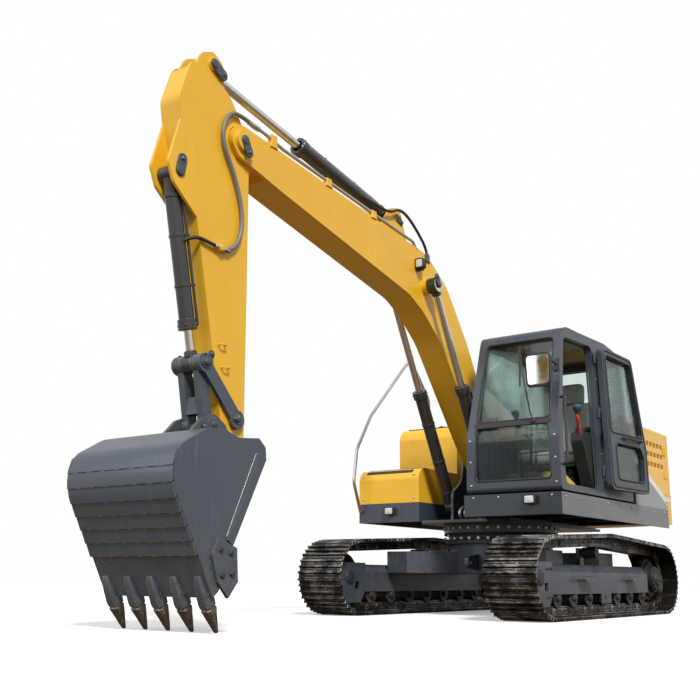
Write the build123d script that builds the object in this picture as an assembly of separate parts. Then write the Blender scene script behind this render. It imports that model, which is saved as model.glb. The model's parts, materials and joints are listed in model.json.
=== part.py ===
from build123d import *
import math
import os

# Crawler excavator, 14 tonne class, standing on its tracks with the bucket
# lowered in front and the cab door folded back.
# Millimetres. X forward, Y to the left (cab side), Z up.
# The origin lies on the ground under the swing axis.

# Undercarriage
GAUGE = 2000.0
SHOE_WIDTH = 500.0
SHOE_PITCH = 171.5
IDLER_X = 1482.0
SPROCKET_X = -1460.0
GROUSER_H = 24.0
SHOE_T = 12.0
LINK_H = 82.0
CHAIN_W = 150.0
TREAD_R = 244.0
CARRIER_X = 60.0
CARRIER_R = 62.0
CARRIER_Z = 608.0
CARRIER_CLEAR = 9.0
ROLLER_R = 72.0
ROLLER_COUNT = 7
FIT = 0.3

# Swing ring
RING_R = 590.0
RING_BASE_Z = 700.0
RING_SPLIT_Z = 800.0
RING_TOP_Z = 892.0

# Upper structure
HALF_WIDTH = 1245.0
SKIRT_Z0 = 915.0
DECK_Z = 1112.0
DECK_T = 14.0
NOSE_LEFT_X = 1235.0
NOSE_RIGHT_X = 815.0
TAIL_X = -1640.0
BAY_X = -640.0
HOOD_Z = 1930.0

# Cab
CAB_RIGHT_Y = 282.0
CAB_FLOOR_Z = 1130.0
CAB_TOP_Z = 2725.0
CAB_FRONT_X = 1220.0
CAB_RAKE = 275.0
CAB_REAR_X = -560.0
CAB_WALL = 55.0
CAB_LEAN = 1.84
GLASS_T = 6.0
DOOR_GAP = 8.0
DOOR_OPEN = 175.0
HINGE_OUT = 22.0

# Working equipment, side view pins (x, z)
BOOM_Y = -60.0
PIN_F = (210.0, 1520.0)
PIN_G = (500.0, 1080.0)
PIN_T = (1600.0, 3103.0)
PIN_A = (4253.0, 3603.0)
PIN_B = (2051.0, 3690.0)
PIN_R = (4563.0, 4118.0)
PIN_C = (4846.0, 3156.0)
PIN_S = (4194.0, 1453.0)
PIN_U = (4545.0, 1814.0)
PIN_H = (4185.0, 1090.0)
PIN_K = (4460.0, 1382.0)
BOOM_HALF = 140.0
ARM_HALF = 100.0
PLATE = 14.0
PIN_PLAY = 0.4


def polar(centre, radius, angle):
    a = math.radians(angle)
    return (centre[0] + radius * math.cos(a), centre[1] + radius * math.sin(a))


def rounded_edges(points, lift):
    # Edges of a closed outline; a point may carry a corner radius as its third value.
    edges = []
    n = len(points)
    corners = []
    for i in range(n):
        p = points[i]
        r = p[2] if len(p) > 2 else 0.0
        a = Vector(points[i - 1][0], points[i - 1][1])
        b = Vector(p[0], p[1])
        c = Vector(points[(i + 1) % n][0], points[(i + 1) % n][1])
        if r <= 0:
            corners.append((b, None, b))
            continue
        u = (a - b).normalized()
        v = (c - b).normalized()
        half = math.acos(max(-1.0, min(1.0, u.dot(v)))) / 2
        reach = r / math.tan(half)
        middle = (u + v).normalized()
        centre = b + middle * (r / math.sin(half))
        corners.append((b + u * reach, centre - middle * r, b + v * reach))
    for i in range(n):
        start, mid, end = corners[i]
        if mid is not None:
            edges.append(ThreePointArc(lift(start), lift(mid), lift(end)))
        following = corners[(i + 1) % n][0]
        if (following - end).length > 1e-6:
            edges.append(Line(lift(end), lift(following)))
    return edges


def prism_y(points, y0, y1):
    edges = rounded_edges(points, lambda p: (p.X, y0, p.Y))
    face = Face(Wire(edges))
    return extrude(face, amount=y1 - y0, dir=(0, 1, 0))


def prism_z(points, z0, z1):
    edges = rounded_edges(points, lambda p: (p.X, p.Y, z0))
    face = Face(Wire(edges))
    return extrude(face, amount=z1 - z0, dir=(0, 0, 1))


def prism_x(points, x0, x1):
    edges = rounded_edges(points, lambda p: (x0, p.X, p.Y))
    face = Face(Wire(edges))
    return extrude(face, amount=x1 - x0, dir=(1, 0, 0))


def block(x0, x1, y0, y1, z0, z1):
    size = Box(abs(x1 - x0), abs(y1 - y0), abs(z1 - z0))
    return Pos((x0 + x1) / 2, (y0 + y1) / 2, (z0 + z1) / 2) * size


def drum_y(x, z, r, y0, y1):
    return Pos(x, (y0 + y1) / 2, z) * (Rot(90, 0, 0) * Cylinder(r, abs(y1 - y0)))


def drum_z(x, y, r, z0, z1):
    return Pos(x, y, (z0 + z1) / 2) * Cylinder(r, z1 - z0)


def drum_x(y, z, r, x0, x1):
    return Pos((x0 + x1) / 2, y, z) * (Rot(0, 90, 0) * Cylinder(r, x1 - x0))


def bar(start, end, radius):
    # A round bar between two points.
    a = Vector(*start)
    b = Vector(*end)
    plane = Plane(origin=a, z_dir=b - a)
    disc = plane * Circle(radius)
    return extrude(disc, amount=(b - a).length, dir=(b - a).normalized())


def pipe(points, bend, radius):
    # A round tube along straight runs with tangent bends.
    path = FilletPolyline(*points, radius=bend)
    disc = Plane(origin=path @ 0, z_dir=path % 0) * Circle(radius)
    return sweep(disc, path=path)


def inset(points, gap):
    # Outline moved inwards by one gap on each side; corner radii follow.
    n = len(points)
    area = sum(points[i - 1][0] * points[i][1] - points[i][0] * points[i - 1][1] for i in range(n))
    turn = 1.0 if area > 0 else -1.0
    moved = []
    for i in range(n):
        a = points[i - 1]
        b = points[i]
        c = points[(i + 1) % n]
        d1 = (b[0] - a[0], b[1] - a[1])
        d2 = (c[0] - b[0], c[1] - b[1])
        l1 = math.hypot(*d1)
        l2 = math.hypot(*d2)
        n1 = (-d1[1] / l1 * turn, d1[0] / l1 * turn)
        n2 = (-d2[1] / l2 * turn, d2[0] / l2 * turn)
        k = gap / (1 + n1[0] * n2[0] + n1[1] * n2[1])
        cross = (d1[0] * d2[1] - d1[1] * d2[0]) * turn
        r = b[2] if len(b) > 2 else 0.0
        if r > 0:
            r = max(r - gap, 1.0) if cross > 0 else r + gap
        moved.append((b[0] + (n1[0] + n2[0]) * k, b[1] + (n1[1] + n2[1]) * k, r))
    return moved


def mirror_y(shape, y=0.0):
    return mirror(shape, about=Plane(origin=(0, y, 0), z_dir=(0, 1, 0)))


def join(*shapes):
    # Fuse pieces that touch.
    whole = shapes[0]
    for other in shapes[1:]:
        whole = whole + other
    return whole


NODES = {}


def keep(name, *shapes):
    # One node; its solids do not touch one another.
    solids = []
    for shape in shapes:
        solids.extend(shape.solids())
    NODES[name] = solids[0] if len(solids) == 1 else Compound(children=solids)
    NODES[name].label = name


# Tracks: one loop each, with flat shoes between the pins of the chain
def tangent(c0, r0, c1, r1):
    # Points where the upper common tangent touches two circles.
    dx = c1[0] - c0[0]
    dz = c1[1] - c0[1]
    dist = math.hypot(dx, dz)
    ux = dx / dist
    uz = dz / dist
    side = -1.0 if ux > 0 else 1.0
    s = (r0 - r1) / dist
    c = math.sqrt(1 - s * s)
    nx = ux * s + side * uz * c
    nz = uz * s - side * ux * c
    return (c0[0] + nx * r0, c0[1] + nz * r0), (c1[0] + nx * r1, c1[1] + nz * r1)


def arc_points(centre, radius, a0, a1, step):
    count = max(2, int(abs(a1 - a0) / step) + 1)
    return [polar(centre, radius, a0 + (a1 - a0) * i / count) for i in range(count + 1)]


WRAP_R = TREAD_R + LINK_H
AXLE_Z = WRAP_R + SHOE_T + GROUSER_H
BELLY_Z = SHOE_T + GROUSER_H
IDLER = (IDLER_X, AXLE_Z)
SPROCKET = (SPROCKET_X, AXLE_Z)
CARRIER = (CARRIER_X, CARRIER_Z)
CARRIER_WRAP = CARRIER_R + LINK_H


def track_path():
    i_top, c_front = tangent(IDLER, WRAP_R, CARRIER, CARRIER_WRAP)
    c_rear, s_top = tangent(CARRIER, CARRIER_WRAP, SPROCKET, WRAP_R)
    a_i = math.degrees(math.atan2(i_top[1] - IDLER[1], i_top[0] - IDLER[0]))
    a_c0 = math.degrees(math.atan2(c_front[1] - CARRIER_Z, c_front[0] - CARRIER_X))
    a_c1 = math.degrees(math.atan2(c_rear[1] - CARRIER_Z, c_rear[0] - CARRIER_X))
    a_s = math.degrees(math.atan2(s_top[1] - SPROCKET[1], s_top[0] - SPROCKET[0]))
    if a_s < 0:
        a_s += 360
    path = arc_points(IDLER, WRAP_R, -90, a_i, 2)
    path += arc_points(CARRIER, CARRIER_WRAP, a_c0, a_c1, 4)
    path += arc_points(SPROCKET, WRAP_R, a_s, 270, 2)
    return path


def chain_pins():
    path = track_path()
    path.append(path[0])
    lengths = [0.0]
    for a, b in zip(path, path[1:]):
        lengths.append(lengths[-1] + math.hypot(b[0] - a[0], b[1] - a[1]))
    count = round(lengths[-1] / SHOE_PITCH)
    pins = []
    k = 0
    for i in range(count):
        s = lengths[-1] * i / count
        while lengths[k + 1] < s:
            k += 1
        f = (s - lengths[k]) / (lengths[k + 1] - lengths[k])
        a = path[k]
        b = path[k + 1]
        pins.append((a[0] + (b[0] - a[0]) * f, a[1] + (b[1] - a[1]) * f))
    return pins


# One shoe in side view: share of the pitch, height over its inner face
SHOE_PROFILE = [
    (at + half * side, height)
    for at in (0.17, 0.5, 0.83)
    for side, half, height in ((-1, 0.085, 0), (-1, 0.035, 1), (1, 0.035, 1), (1, 0.085, 0))
]


def track_loop(y):
    pins = chain_pins()
    outer = []
    for i, a in enumerate(pins):
        b = pins[(i + 1) % len(pins)]
        t = Vector(b[0] - a[0], b[1] - a[1])
        n = Vector(t.Y, -t.X).normalized()
        for share, height in SHOE_PROFILE:
            h = SHOE_T + GROUSER_H * height
            outer.append((a[0] + t.X * share + n.X * h, a[1] + t.Y * share + n.Y * h))
    rail = inset(pins, LINK_H)
    y0 = y - SHOE_WIDTH / 2
    y1 = y + SHOE_WIDTH / 2
    shoes = prism_y(outer, y0, y1) - prism_y(pins, y0, y1)
    chain = prism_y(pins, y - CHAIN_W / 2, y + CHAIN_W / 2) - prism_y(rail, y - CHAIN_W / 2, y + CHAIN_W / 2)
    return shoes + chain


keep("track_left", track_loop(GAUGE / 2))
keep("track_right", track_loop(-GAUGE / 2))

# Idlers, sprockets with final drives, rollers
IDLER_W = 90.0
IDLER_CLEAR = 14.0
YOKE_T = 26.0
YOKE_GAP = 97.0
ROLLER_W = 190.0
ROLLER_FLANGE = 14.0
ROLLER_X0 = -1060.0
ROLLER_X1 = 1080.0
RAIL_Z = BELLY_Z + LINK_H
DRIVE_R = 150.0
DRIVE_OUT = 112.0


def idler(y):
    rim = drum_y(IDLER_X, AXLE_Z, TREAD_R - IDLER_CLEAR, y - IDLER_W / 2, y + IDLER_W / 2)
    hub = drum_y(IDLER_X, AXLE_Z, 70, y - YOKE_GAP - YOKE_T, y + YOKE_GAP + YOKE_T)
    recess = drum_y(IDLER_X, AXLE_Z, TREAD_R - 60, y + IDLER_W / 2 - 25, y + 200)
    recess = recess + drum_y(IDLER_X, AXLE_Z, TREAD_R - 60, y - 200, y - IDLER_W / 2 + 25)
    return rim - recess + hub


def sprocket(y, side):
    teeth = 21
    points = []
    for i in range(teeth):
        a = 360.0 * i / teeth
        for turn, r in ((-4.5, -34), (-2.0, -14), (2.0, -14), (4.5, -34)):
            points.append(polar(SPROCKET, TREAD_R + r, a + turn))
    wheel = prism_y(points, y - 30, y + 30)
    case = drum_y(SPROCKET_X, AXLE_Z, DRIVE_R + 30, y - side * 60, y + side * 60)
    cover = drum_y(SPROCKET_X, AXLE_Z, DRIVE_R - 15, y + side * 50, y + side * DRIVE_OUT)
    motor = drum_y(SPROCKET_X, AXLE_Z, DRIVE_R - 30, y - side * 250, y - side * 50)
    return wheel + case + cover + motor


def roller(x, y):
    z = RAIL_Z + ROLLER_R + FIT
    body = drum_y(x, z, ROLLER_R, y - ROLLER_W / 2, y + ROLLER_W / 2)
    for s in (-1, 1):
        inner = y + s * (CHAIN_W / 2 + 4)
        outer = y + s * ROLLER_W / 2
        body = body + drum_y(x, z, ROLLER_R + ROLLER_FLANGE, min(inner, outer), max(inner, outer))
    return body


SIDES = ((1, GAUGE / 2), (-1, -GAUGE / 2))
keep("idlers", *[idler(y) for s, y in SIDES])
keep("sprockets", *[sprocket(y, s) for s, y in SIDES])
ROLLER_STEP = (ROLLER_X1 - ROLLER_X0) / (ROLLER_COUNT - 1)
keep("track_rollers", *[roller(ROLLER_X0 + ROLLER_STEP * i, y) for s, y in SIDES for i in range(ROLLER_COUNT)])

# Track frames
FRAME_HALF = 120.0
FRAME_Z0 = 285.0
FRAME_Z1 = 485.0
FLANGE_T = 14.0
FLANGE_Z = 222.0
YOKE_X = 1285.0
YOKE_NOSE = 1700.0
ROLLER_BRACKET = 11.0


def track_frame(y, side):
    beam = prism_x([(y - FRAME_HALF, FRAME_Z0), (y + FRAME_HALF, FRAME_Z0), (y + FRAME_HALF, FRAME_Z1 - 70),
                    (y + 50, FRAME_Z1), (y - 50, FRAME_Z1), (y - FRAME_HALF, FRAME_Z1 - 70)], -1180, YOKE_X - 40)
    core = block(-1160, YOKE_X - 60, y - FRAME_HALF + PLATE, y + FRAME_HALF - PLATE, FRAME_Z0 + PLATE, FRAME_Z1 - 84)
    frame = beam - core
    # Side flanges hang over the upper half of the rollers
    for s in (-1, 1):
        a = y + s * FRAME_HALF
        b = y + s * (FRAME_HALF - FLANGE_T)
        frame = frame + block(-1180, YOKE_X - 40, a, b, FLANGE_Z, FRAME_Z0 + 5)
    # Idler yoke: two cheek plates beside the idler
    for s in (-1, 1):
        a = y + s * YOKE_GAP
        b = y + s * (YOKE_GAP + YOKE_T)
        cheek = prism_y([(YOKE_X - 60, 240), (YOKE_X + 20, 118), (YOKE_NOSE - 60, 118, 40), (YOKE_NOSE, 200, 30),
                         (YOKE_NOSE, 440, 40), (YOKE_NOSE - 70, 500, 40), (YOKE_X - 60, 500)], min(a, b), max(a, b))
        slot = block(YOKE_X + 40, YOKE_X + 110, min(a, b) - 1, max(a, b) + 1, 250, 320)
        bore = drum_y(IDLER_X, AXLE_Z, 70 + FIT, min(a, b) - 1, max(a, b) + 1)
        frame = frame + (cheek - slot - bore)
    # Motor cradle round the final drive
    inner = y - side * FRAME_HALF
    for a, b in ((inner, inner + side * 30),):
        plate = prism_y([(-1150, FRAME_Z0), (-1150, FRAME_Z1 - 90), (SPROCKET_X - 60, 545, 90), (SPROCKET_X - 190, 420, 60),
                         (SPROCKET_X - 190, 300, 60), (SPROCKET_X - 60, 180, 90)], min(a, b), max(a, b))
        hole = drum_y(SPROCKET_X, AXLE_Z, DRIVE_R - 30 + FIT, min(a, b) - 1, max(a, b) + 1)
        frame = frame + (plate - hole)
    # Roller brackets under the beam
    for i in range(ROLLER_COUNT):
        x = ROLLER_X0 + ROLLER_STEP * i
        z = RAIL_Z + ROLLER_R + FIT
        for s in (-1, 1):
            a = y + s * (ROLLER_W / 2 + FIT)
            b = y + s * (ROLLER_W / 2 + FIT + ROLLER_BRACKET)
            lug = prism_y([(x - 45, z - 20, 15), (x + 45, z - 20, 15), (x + 45, FRAME_Z0 + 4), (x - 45, FRAME_Z0 + 4)],
                          min(a, b), max(a, b))
            frame = frame + lug
    # Track guide in the middle and two side steps
    outer = y + side * FRAME_HALF
    guard = block(-130, 110, min(outer, outer - side * 16), max(outer, outer - side * 16), 130, FRAME_Z0 + 10)
    frame = frame + guard
    for x in (-640, 560):
        a = outer
        b = outer + side * 90
        frame = frame + block(x - 130, x + 130, min(a, b), max(a, b), FRAME_Z1 - 150, FRAME_Z1 - 128)
    # Carrier roller bracket
    a = y - side * 131
    b = y - side * 90
    post = block(CARRIER_X - 45, CARRIER_X + 45, min(a, b), max(a, b), FRAME_Z1 - 90, CARRIER_Z + 45)
    stub = drum_y(CARRIER_X, CARRIER_Z, 30 + FIT, y - 200, y + 200)
    return frame + (post - stub)


keep("track_frame_left", track_frame(GAUGE / 2, 1))
keep("track_frame_right", track_frame(-GAUGE / 2, -1))


def carrier_roller(y, side):
    tread = drum_y(CARRIER_X, CARRIER_Z, CARRIER_R - CARRIER_CLEAR, y - 70, y + 70)
    a = y - side * 131
    b = y - side * 60
    axle = drum_y(CARRIER_X, CARRIER_Z, 30, min(a, b), max(a, b))
    return tread + axle


keep("carrier_rollers", *[carrier_roller(y, s) for s, y in SIDES])

# Car body: drum under the swing ring and four box legs out to the frames
LEG_Z0 = 405.0
LEG_Z1 = 620.0
LEG_X = 640.0
LEG_HALF = 190.0
LEG_END = GAUGE / 2 - FRAME_HALF
drum = drum_z(0, 0, RING_R - 60, LEG_Z0, RING_BASE_Z) - drum_z(0, 0, RING_R - 80, LEG_Z0 - 1, RING_BASE_Z - 14)
car_body = drum
for sx in (1, -1):
    for s in (1, -1):
        leg = prism_z([(sx * 120, s * 250), (sx * 420, s * 200), (sx * (LEG_X + LEG_HALF), s * 640),
                       (sx * (LEG_X + LEG_HALF), s * LEG_END), (sx * (LEG_X - LEG_HALF), s * LEG_END)], LEG_Z0, LEG_Z1)
        hollow = prism_z(inset([(sx * 120, s * 250), (sx * 420, s * 200), (sx * (LEG_X + LEG_HALF), s * 640),
                                (sx * (LEG_X + LEG_HALF), s * LEG_END), (sx * (LEG_X - LEG_HALF), s * LEG_END)], PLATE),
                         LEG_Z0 + PLATE, LEG_Z1 - PLATE)
        car_body = car_body + (leg - hollow)
car_body = car_body + (drum_z(0, 0, 300, LEG_Z0, LEG_Z0 + 20))
TOW_R = 32.0
TOW_T = 45.0
TOW_X = 690.0
for sx in (1, -1):
    lug = prism_y([(sx * 480, LEG_Z0 + 20), (sx * 480, LEG_Z1 - 20), (sx * (TOW_X + 60), LEG_Z1 - 60, 30),
                   (sx * (TOW_X + 60), LEG_Z0 + 60, 30)], -TOW_T / 2, TOW_T / 2)
    car_body = car_body + lug - drum_y(sx * TOW_X, (LEG_Z0 + LEG_Z1) / 2, TOW_R, -TOW_T, TOW_T)
keep("car_body", car_body)

# Swing ring: lower race on the car body, upper race under the frame
BOLTS = 30
lower = drum_z(0, 0, RING_R - 45, RING_BASE_Z, RING_SPLIT_Z - 2) - drum_z(0, 0, RING_R - 150, RING_BASE_Z - 1, RING_SPLIT_Z)
lower = lower + (drum_z(0, 0, RING_R - 5, RING_BASE_Z, RING_BASE_Z + 28) - drum_z(0, 0, RING_R - 60, 0, RING_SPLIT_Z))
keep("swing_ring_lower", lower)
upper = drum_z(0, 0, RING_R, RING_SPLIT_Z + 10, RING_TOP_Z) - drum_z(0, 0, RING_R - 110, RING_SPLIT_Z, RING_TOP_Z + 1)
upper = upper + (drum_z(0, 0, RING_R - 50, RING_SPLIT_Z - 1.5, RING_SPLIT_Z + 12) - drum_z(0, 0, RING_R - 110, 0, RING_TOP_Z))
keep("swing_ring_upper", upper)

# Revolving frame: base plate, boom brackets and the two side decks
BRACKET_IN = BOOM_HALF + 6.0
BRACKET_T = 26.0
ENGINE_Z = 1200.0
frame = prism_z([(TAIL_X, -560), (640, -560), (860, -440), (860, 300), (640, 440), (TAIL_X, 440)], RING_TOP_Z, RING_TOP_Z + 28)
for s in (-1, 1):
    a = BOOM_Y + s * BRACKET_IN
    b = BOOM_Y + s * (BRACKET_IN + BRACKET_T)
    web = prism_y([(TAIL_X, RING_TOP_Z + 28), (TAIL_X, ENGINE_Z), (-800, ENGINE_Z), (-420, 1300, 200), (PIN_F[0] - 150, PIN_F[1] + 160, 120),
                   (PIN_F[0] + 160, PIN_F[1] + 150, 120), (PIN_G[0] - 60, 1330, 150), (PIN_G[0] + 130, PIN_G[1] + 130, 100),
                   (PIN_G[0] + 130, PIN_G[1] - 100, 60), (640, RING_TOP_Z + 28)], min(a, b), max(a, b))
    frame = frame + web
FRAME_TOP = RING_TOP_Z + 28
left_deck = block(-1620, NOSE_LEFT_X, CAB_RIGHT_Y - 20, HALF_WIDTH, DECK_Z - DECK_T, DECK_Z)
left_deck = left_deck + block(TAIL_X, NOSE_LEFT_X, HALF_WIDTH - 20, HALF_WIDTH, SKIRT_Z0, DECK_Z)
left_deck = left_deck + block(NOSE_LEFT_X - 20, NOSE_LEFT_X, CAB_RIGHT_Y - 20, HALF_WIDTH, SKIRT_Z0, DECK_Z)
left_deck = left_deck + block(-1620, NOSE_LEFT_X, CAB_RIGHT_Y - 20, CAB_RIGHT_Y, FRAME_TOP, DECK_Z)
RIGHT_IN = -500.0
right_deck = block(-1620, NOSE_RIGHT_X, -HALF_WIDTH, RIGHT_IN, DECK_Z - DECK_T, DECK_Z)
right_deck = right_deck + block(TAIL_X, NOSE_RIGHT_X, -HALF_WIDTH, -HALF_WIDTH + 20, SKIRT_Z0, DECK_Z)
right_deck = right_deck + block(NOSE_RIGHT_X - 20, NOSE_RIGHT_X, -HALF_WIDTH, RIGHT_IN, SKIRT_Z0, DECK_Z)
right_deck = right_deck + block(-1620, NOSE_RIGHT_X, RIGHT_IN - 20, RIGHT_IN, FRAME_TOP, DECK_Z)
for x in (-1400, -700, 0, 560):
    left_deck = left_deck + block(x, x + 16, CAB_RIGHT_Y - 1, HALF_WIDTH - 1, SKIRT_Z0 + 40, DECK_Z - 1)
    right_deck = right_deck + block(x, x + 16, -HALF_WIDTH + 1, RIGHT_IN + 1, SKIRT_Z0 + 40, DECK_Z - 1)
left_deck = left_deck + block(-1500, 640, CAB_RIGHT_Y - 20, 440, FRAME_TOP, FRAME_TOP + 14)
right_deck = right_deck + block(-1500, 640, -560, RIGHT_IN, FRAME_TOP, FRAME_TOP + 14)
keep("left_deck", left_deck)
keep("right_deck", right_deck)

# Pins in the frame: boom foot pin and the two stubs for the boom cylinders
CYL_Y = 244.0
CYL_EYE = 36.0
FOOT_PIN_R = 40.0
STUB_R = 36.0
for s in (-1, 1):
    a = BOOM_Y + s * (BRACKET_IN + BRACKET_T - 10)
    b = BOOM_Y + s * (CYL_Y + CYL_EYE + 12)
    frame = frame + drum_y(*PIN_G, STUB_R, min(a, b), max(a, b))
    cap = drum_y(*PIN_F, 62, min(a, a + s * 26), max(a, a + s * 26))
    frame = frame + cap
frame = frame + drum_y(*PIN_F, FOOT_PIN_R, BOOM_Y - BRACKET_IN - 5, BOOM_Y + BRACKET_IN + 5)
keep("revolving_frame", frame)

# Boom: welded box with a fork for the arm at its tip
BOOM_OUTLINE = [
    (105, 1600, 0), (300, 1405, 0), (585, 1707, 200), (1345, 2627, 600), (1640, 2850, 500), (1872, 2963, 500),
    (3797, 3356, 400), (4285, 3470, 120), (4400, 3600, 110), (4300, 3740, 120), (3809, 3688, 600), (1560, 3445, 500),
    (1180, 3200, 500), (806, 2720, 800),
]
FOOT_EYE_R = 128.0
FORK_X = 3950.0
FORK_T = 36.0


def boom_body():
    outline = BOOM_OUTLINE
    y0 = BOOM_Y - BOOM_HALF
    y1 = BOOM_Y + BOOM_HALF
    shell = prism_y(outline, y0, y1) + drum_y(*PIN_F, FOOT_EYE_R, BOOM_Y - BRACKET_IN + 3, BOOM_Y + BRACKET_IN - 3)
    # The foot is narrowed to the hub round the pin
    core = inset(BOOM_OUTLINE, PLATE)
    hollow = prism_y(core, y0 + PLATE, y1 - PLATE)
    keepout = block(FORK_X - 60, 4600, y0, y1, 3200, 4000) + drum_y(*PIN_F, FOOT_EYE_R + PLATE, y0, y1)
    shell = shell - (hollow - keepout)
    fork = block(FORK_X, 4700, y0 + FORK_T, y1 - FORK_T, 3000, 4000)
    shell = shell - fork
    shell = shell - drum_y(*PIN_F, FOOT_PIN_R + PIN_PLAY, y0 - 100, y1 + 100)
    return shell


boom = boom_body()
ARM_PIN_R = 38.0
T_R = 36.0
for s in (-1, 1):
    a = BOOM_Y + s * (BOOM_HALF - 5)
    b = BOOM_Y + s * (CYL_Y - CYL_EYE - 14 - 5)
    boss = drum_y(*PIN_A, 78, min(a, a + s * 33), max(a, a + s * 33))
    boom = boom + boss
    boom = boom + drum_y(*PIN_T, 75, min(a, b), max(a, b))
boom = boom + drum_y(*PIN_A, ARM_PIN_R, BOOM_Y - BOOM_HALF, BOOM_Y + BOOM_HALF)
# Ears for the arm cylinder on the boom's back
EAR_GAP = 76.0
EAR_T = 24.0
for s in (-1, 1):
    a = BOOM_Y + s * EAR_GAP
    b = BOOM_Y + s * (EAR_GAP + EAR_T)
    ear = prism_y([(1840, 3440), (2330, 3500), (2150, 3750, 60), (1985, 3800, 60)], min(a, b), max(a, b))
    boom = boom + ear
boom = boom + drum_y(*PIN_B, 32, BOOM_Y - EAR_GAP - EAR_T - 12, BOOM_Y + EAR_GAP + EAR_T + 12)
keep("boom", boom)


# Cylinders: barrel hinged at its foot, rod sliding in it
def along(p, q, d):
    length = math.hypot(q[0] - p[0], q[1] - p[1])
    return (p[0] + (q[0] - p[0]) * d / length, p[1] + (q[1] - p[1]) * d / length)


def barrel(p, q, y, reach, r_out, r_in, eye_r, eye_half, pin_r, floor):
    a = along(p, q, eye_r * 0.6)
    g = along(p, q, reach)
    h = along(p, q, reach - 70)
    f = along(p, q, floor)
    e = along(p, q, reach + 1)
    body = bar((a[0], y, a[1]), (g[0], y, g[1]), r_out)
    body = body + bar((h[0], y, h[1]), (g[0], y, g[1]), r_out + 9)
    body = body + drum_y(*p, eye_r, y - eye_half, y + eye_half)
    body = body - bar((f[0], y, f[1]), (e[0], y, e[1]), r_in)
    return body - drum_y(*p, pin_r + PIN_PLAY, y - 300, y + 300)


def rod(p, q, y, start, r, eye_r, eye_half, piston_r):
    # The piston end stays inside the barrel; the far eye carries its own pin end.
    a = along(p, q, start)
    b = along(p, q, start + 90)
    body = bar((a[0], y, a[1]), (q[0], y, q[1]), r)
    body = body + bar((a[0], y, a[1]), (b[0], y, b[1]), piston_r)
    return body + drum_y(*q, eye_r, y - eye_half, y + eye_half)


BOOM_BARREL = 1268.0
BOOM_ROD_START = 1050.0
ARM_BARREL = 1390.0
ARM_ROD_START = 1180.0
BUCKET_BARREL = 1130.0
BUCKET_ROD_START = 240.0
barrels = []
rods = []
for s in (-1, 1):
    y = BOOM_Y + s * CYL_Y
    barrels.append(barrel(PIN_G, PIN_T, y, BOOM_BARREL, 62, 45, 70, CYL_EYE, STUB_R, 140))
    rods.append(rod(PIN_G, PIN_T, y, BOOM_ROD_START, 34, 72, CYL_EYE + 14, 44))
keep("boom_cylinder_barrels", *barrels)
keep("boom_cylinder_rods", *rods)
keep("arm_cylinder_barrel", barrel(PIN_B, PIN_R, BOOM_Y, ARM_BARREL, 66, 50, 72, 70, 32, 150))
keep("arm_cylinder_rod", rod(PIN_B, PIN_R, BOOM_Y, ARM_ROD_START, 37, 70, 66, 49))
keep("bucket_cylinder_barrel", barrel(PIN_C, PIN_U, BOOM_Y, BUCKET_BARREL, 56, 41, 62, 66, 30, 130))
keep("bucket_cylinder_rod", rod(PIN_C, PIN_U, BOOM_Y, BUCKET_ROD_START, 31, 64, 40, 40))

# Arm: tapered box between the boom fork and the bucket
ARM_OUTLINE = [
    (4086, 1180, 0), (4290, 1180, 0), (4365, 1569, 300), (4651, 2840, 900), (4840, 3476, 700), (4889, 3728, 150), (4777, 4080, 80),
    (4377, 3966, 300), (4197, 3721, 400), (4128, 3496, 400), (4107, 2456, 2000),
]
ARM_HUB_R = 118.0
ROD_RECESS = [(4330, 3900), (4480, 3840), (4720, 3880), (4800, 4000), (4760, 4400), (4300, 4400)]
TIP_HUB_R = 92.0


def arm_body():
    y0 = BOOM_Y - ARM_HALF
    y1 = BOOM_Y + ARM_HALF
    shell = prism_y(ARM_OUTLINE, y0, y1)
    core = inset(ARM_OUTLINE, PLATE)
    hollow = prism_y(core, y0 + PLATE, y1 - PLATE)
    hollow = hollow - drum_y(*PIN_A, ARM_HUB_R, y0, y1) - block(4000, 4500, y0, y1, 900, 1330) - drum_y(*PIN_S, 70, y0, y1)
    shell = shell - hollow
    shell = shell + drum_y(*PIN_A, ARM_HUB_R, y0, y1) + drum_y(*PIN_H, TIP_HUB_R, y0, y1)
    shell = shell - drum_y(*PIN_A, ARM_PIN_R + PIN_PLAY, y0 - 1, y1 + 1)
    shell = shell - drum_y(*PIN_H, 34 + PIN_PLAY, y0 - 1, y1 + 1)
    # Ears for the arm cylinder's rod, and for the bucket cylinder's foot
    for s in (-1, 1):
        a = BOOM_Y + s * EAR_GAP
        b = BOOM_Y + s * (EAR_GAP + EAR_T)
        ear = prism_y([(4430, 3960), (4740, 4050), (4680, 4170, 70), (4560, 4230, 80), (4450, 4160, 80)], min(a, b), max(a, b))
        shell = shell + ear
        cap = drum_y(*PIN_R, 50, min(b, b + s * 18), max(b, b + s * 18))
        shell = shell + cap
        lug = prism_y([(4640, 2850), (4860, 3560), (4960, 3200, 60), (4900, 3060, 60)], min(a, b), max(a, b))
        shell = shell + lug
    recess = prism_y(ROD_RECESS, BOOM_Y - EAR_GAP, BOOM_Y + EAR_GAP)
    shell = shell - recess
    shell = shell + drum_y(*PIN_C, 30, BOOM_Y - EAR_GAP - 30, BOOM_Y + EAR_GAP + 30)
    shell = shell + drum_y(*PIN_S, 30, BOOM_Y - ARM_HALF - 44, BOOM_Y + ARM_HALF + 44)
    return shell


keep("arm", arm_body())

# Bucket linkage: two guide links on the arm, one forked link to the bucket
LINK_IN = ARM_HALF + 8.0
LINK_T = 30.0
LINK_PIN_R = 28.0


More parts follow.
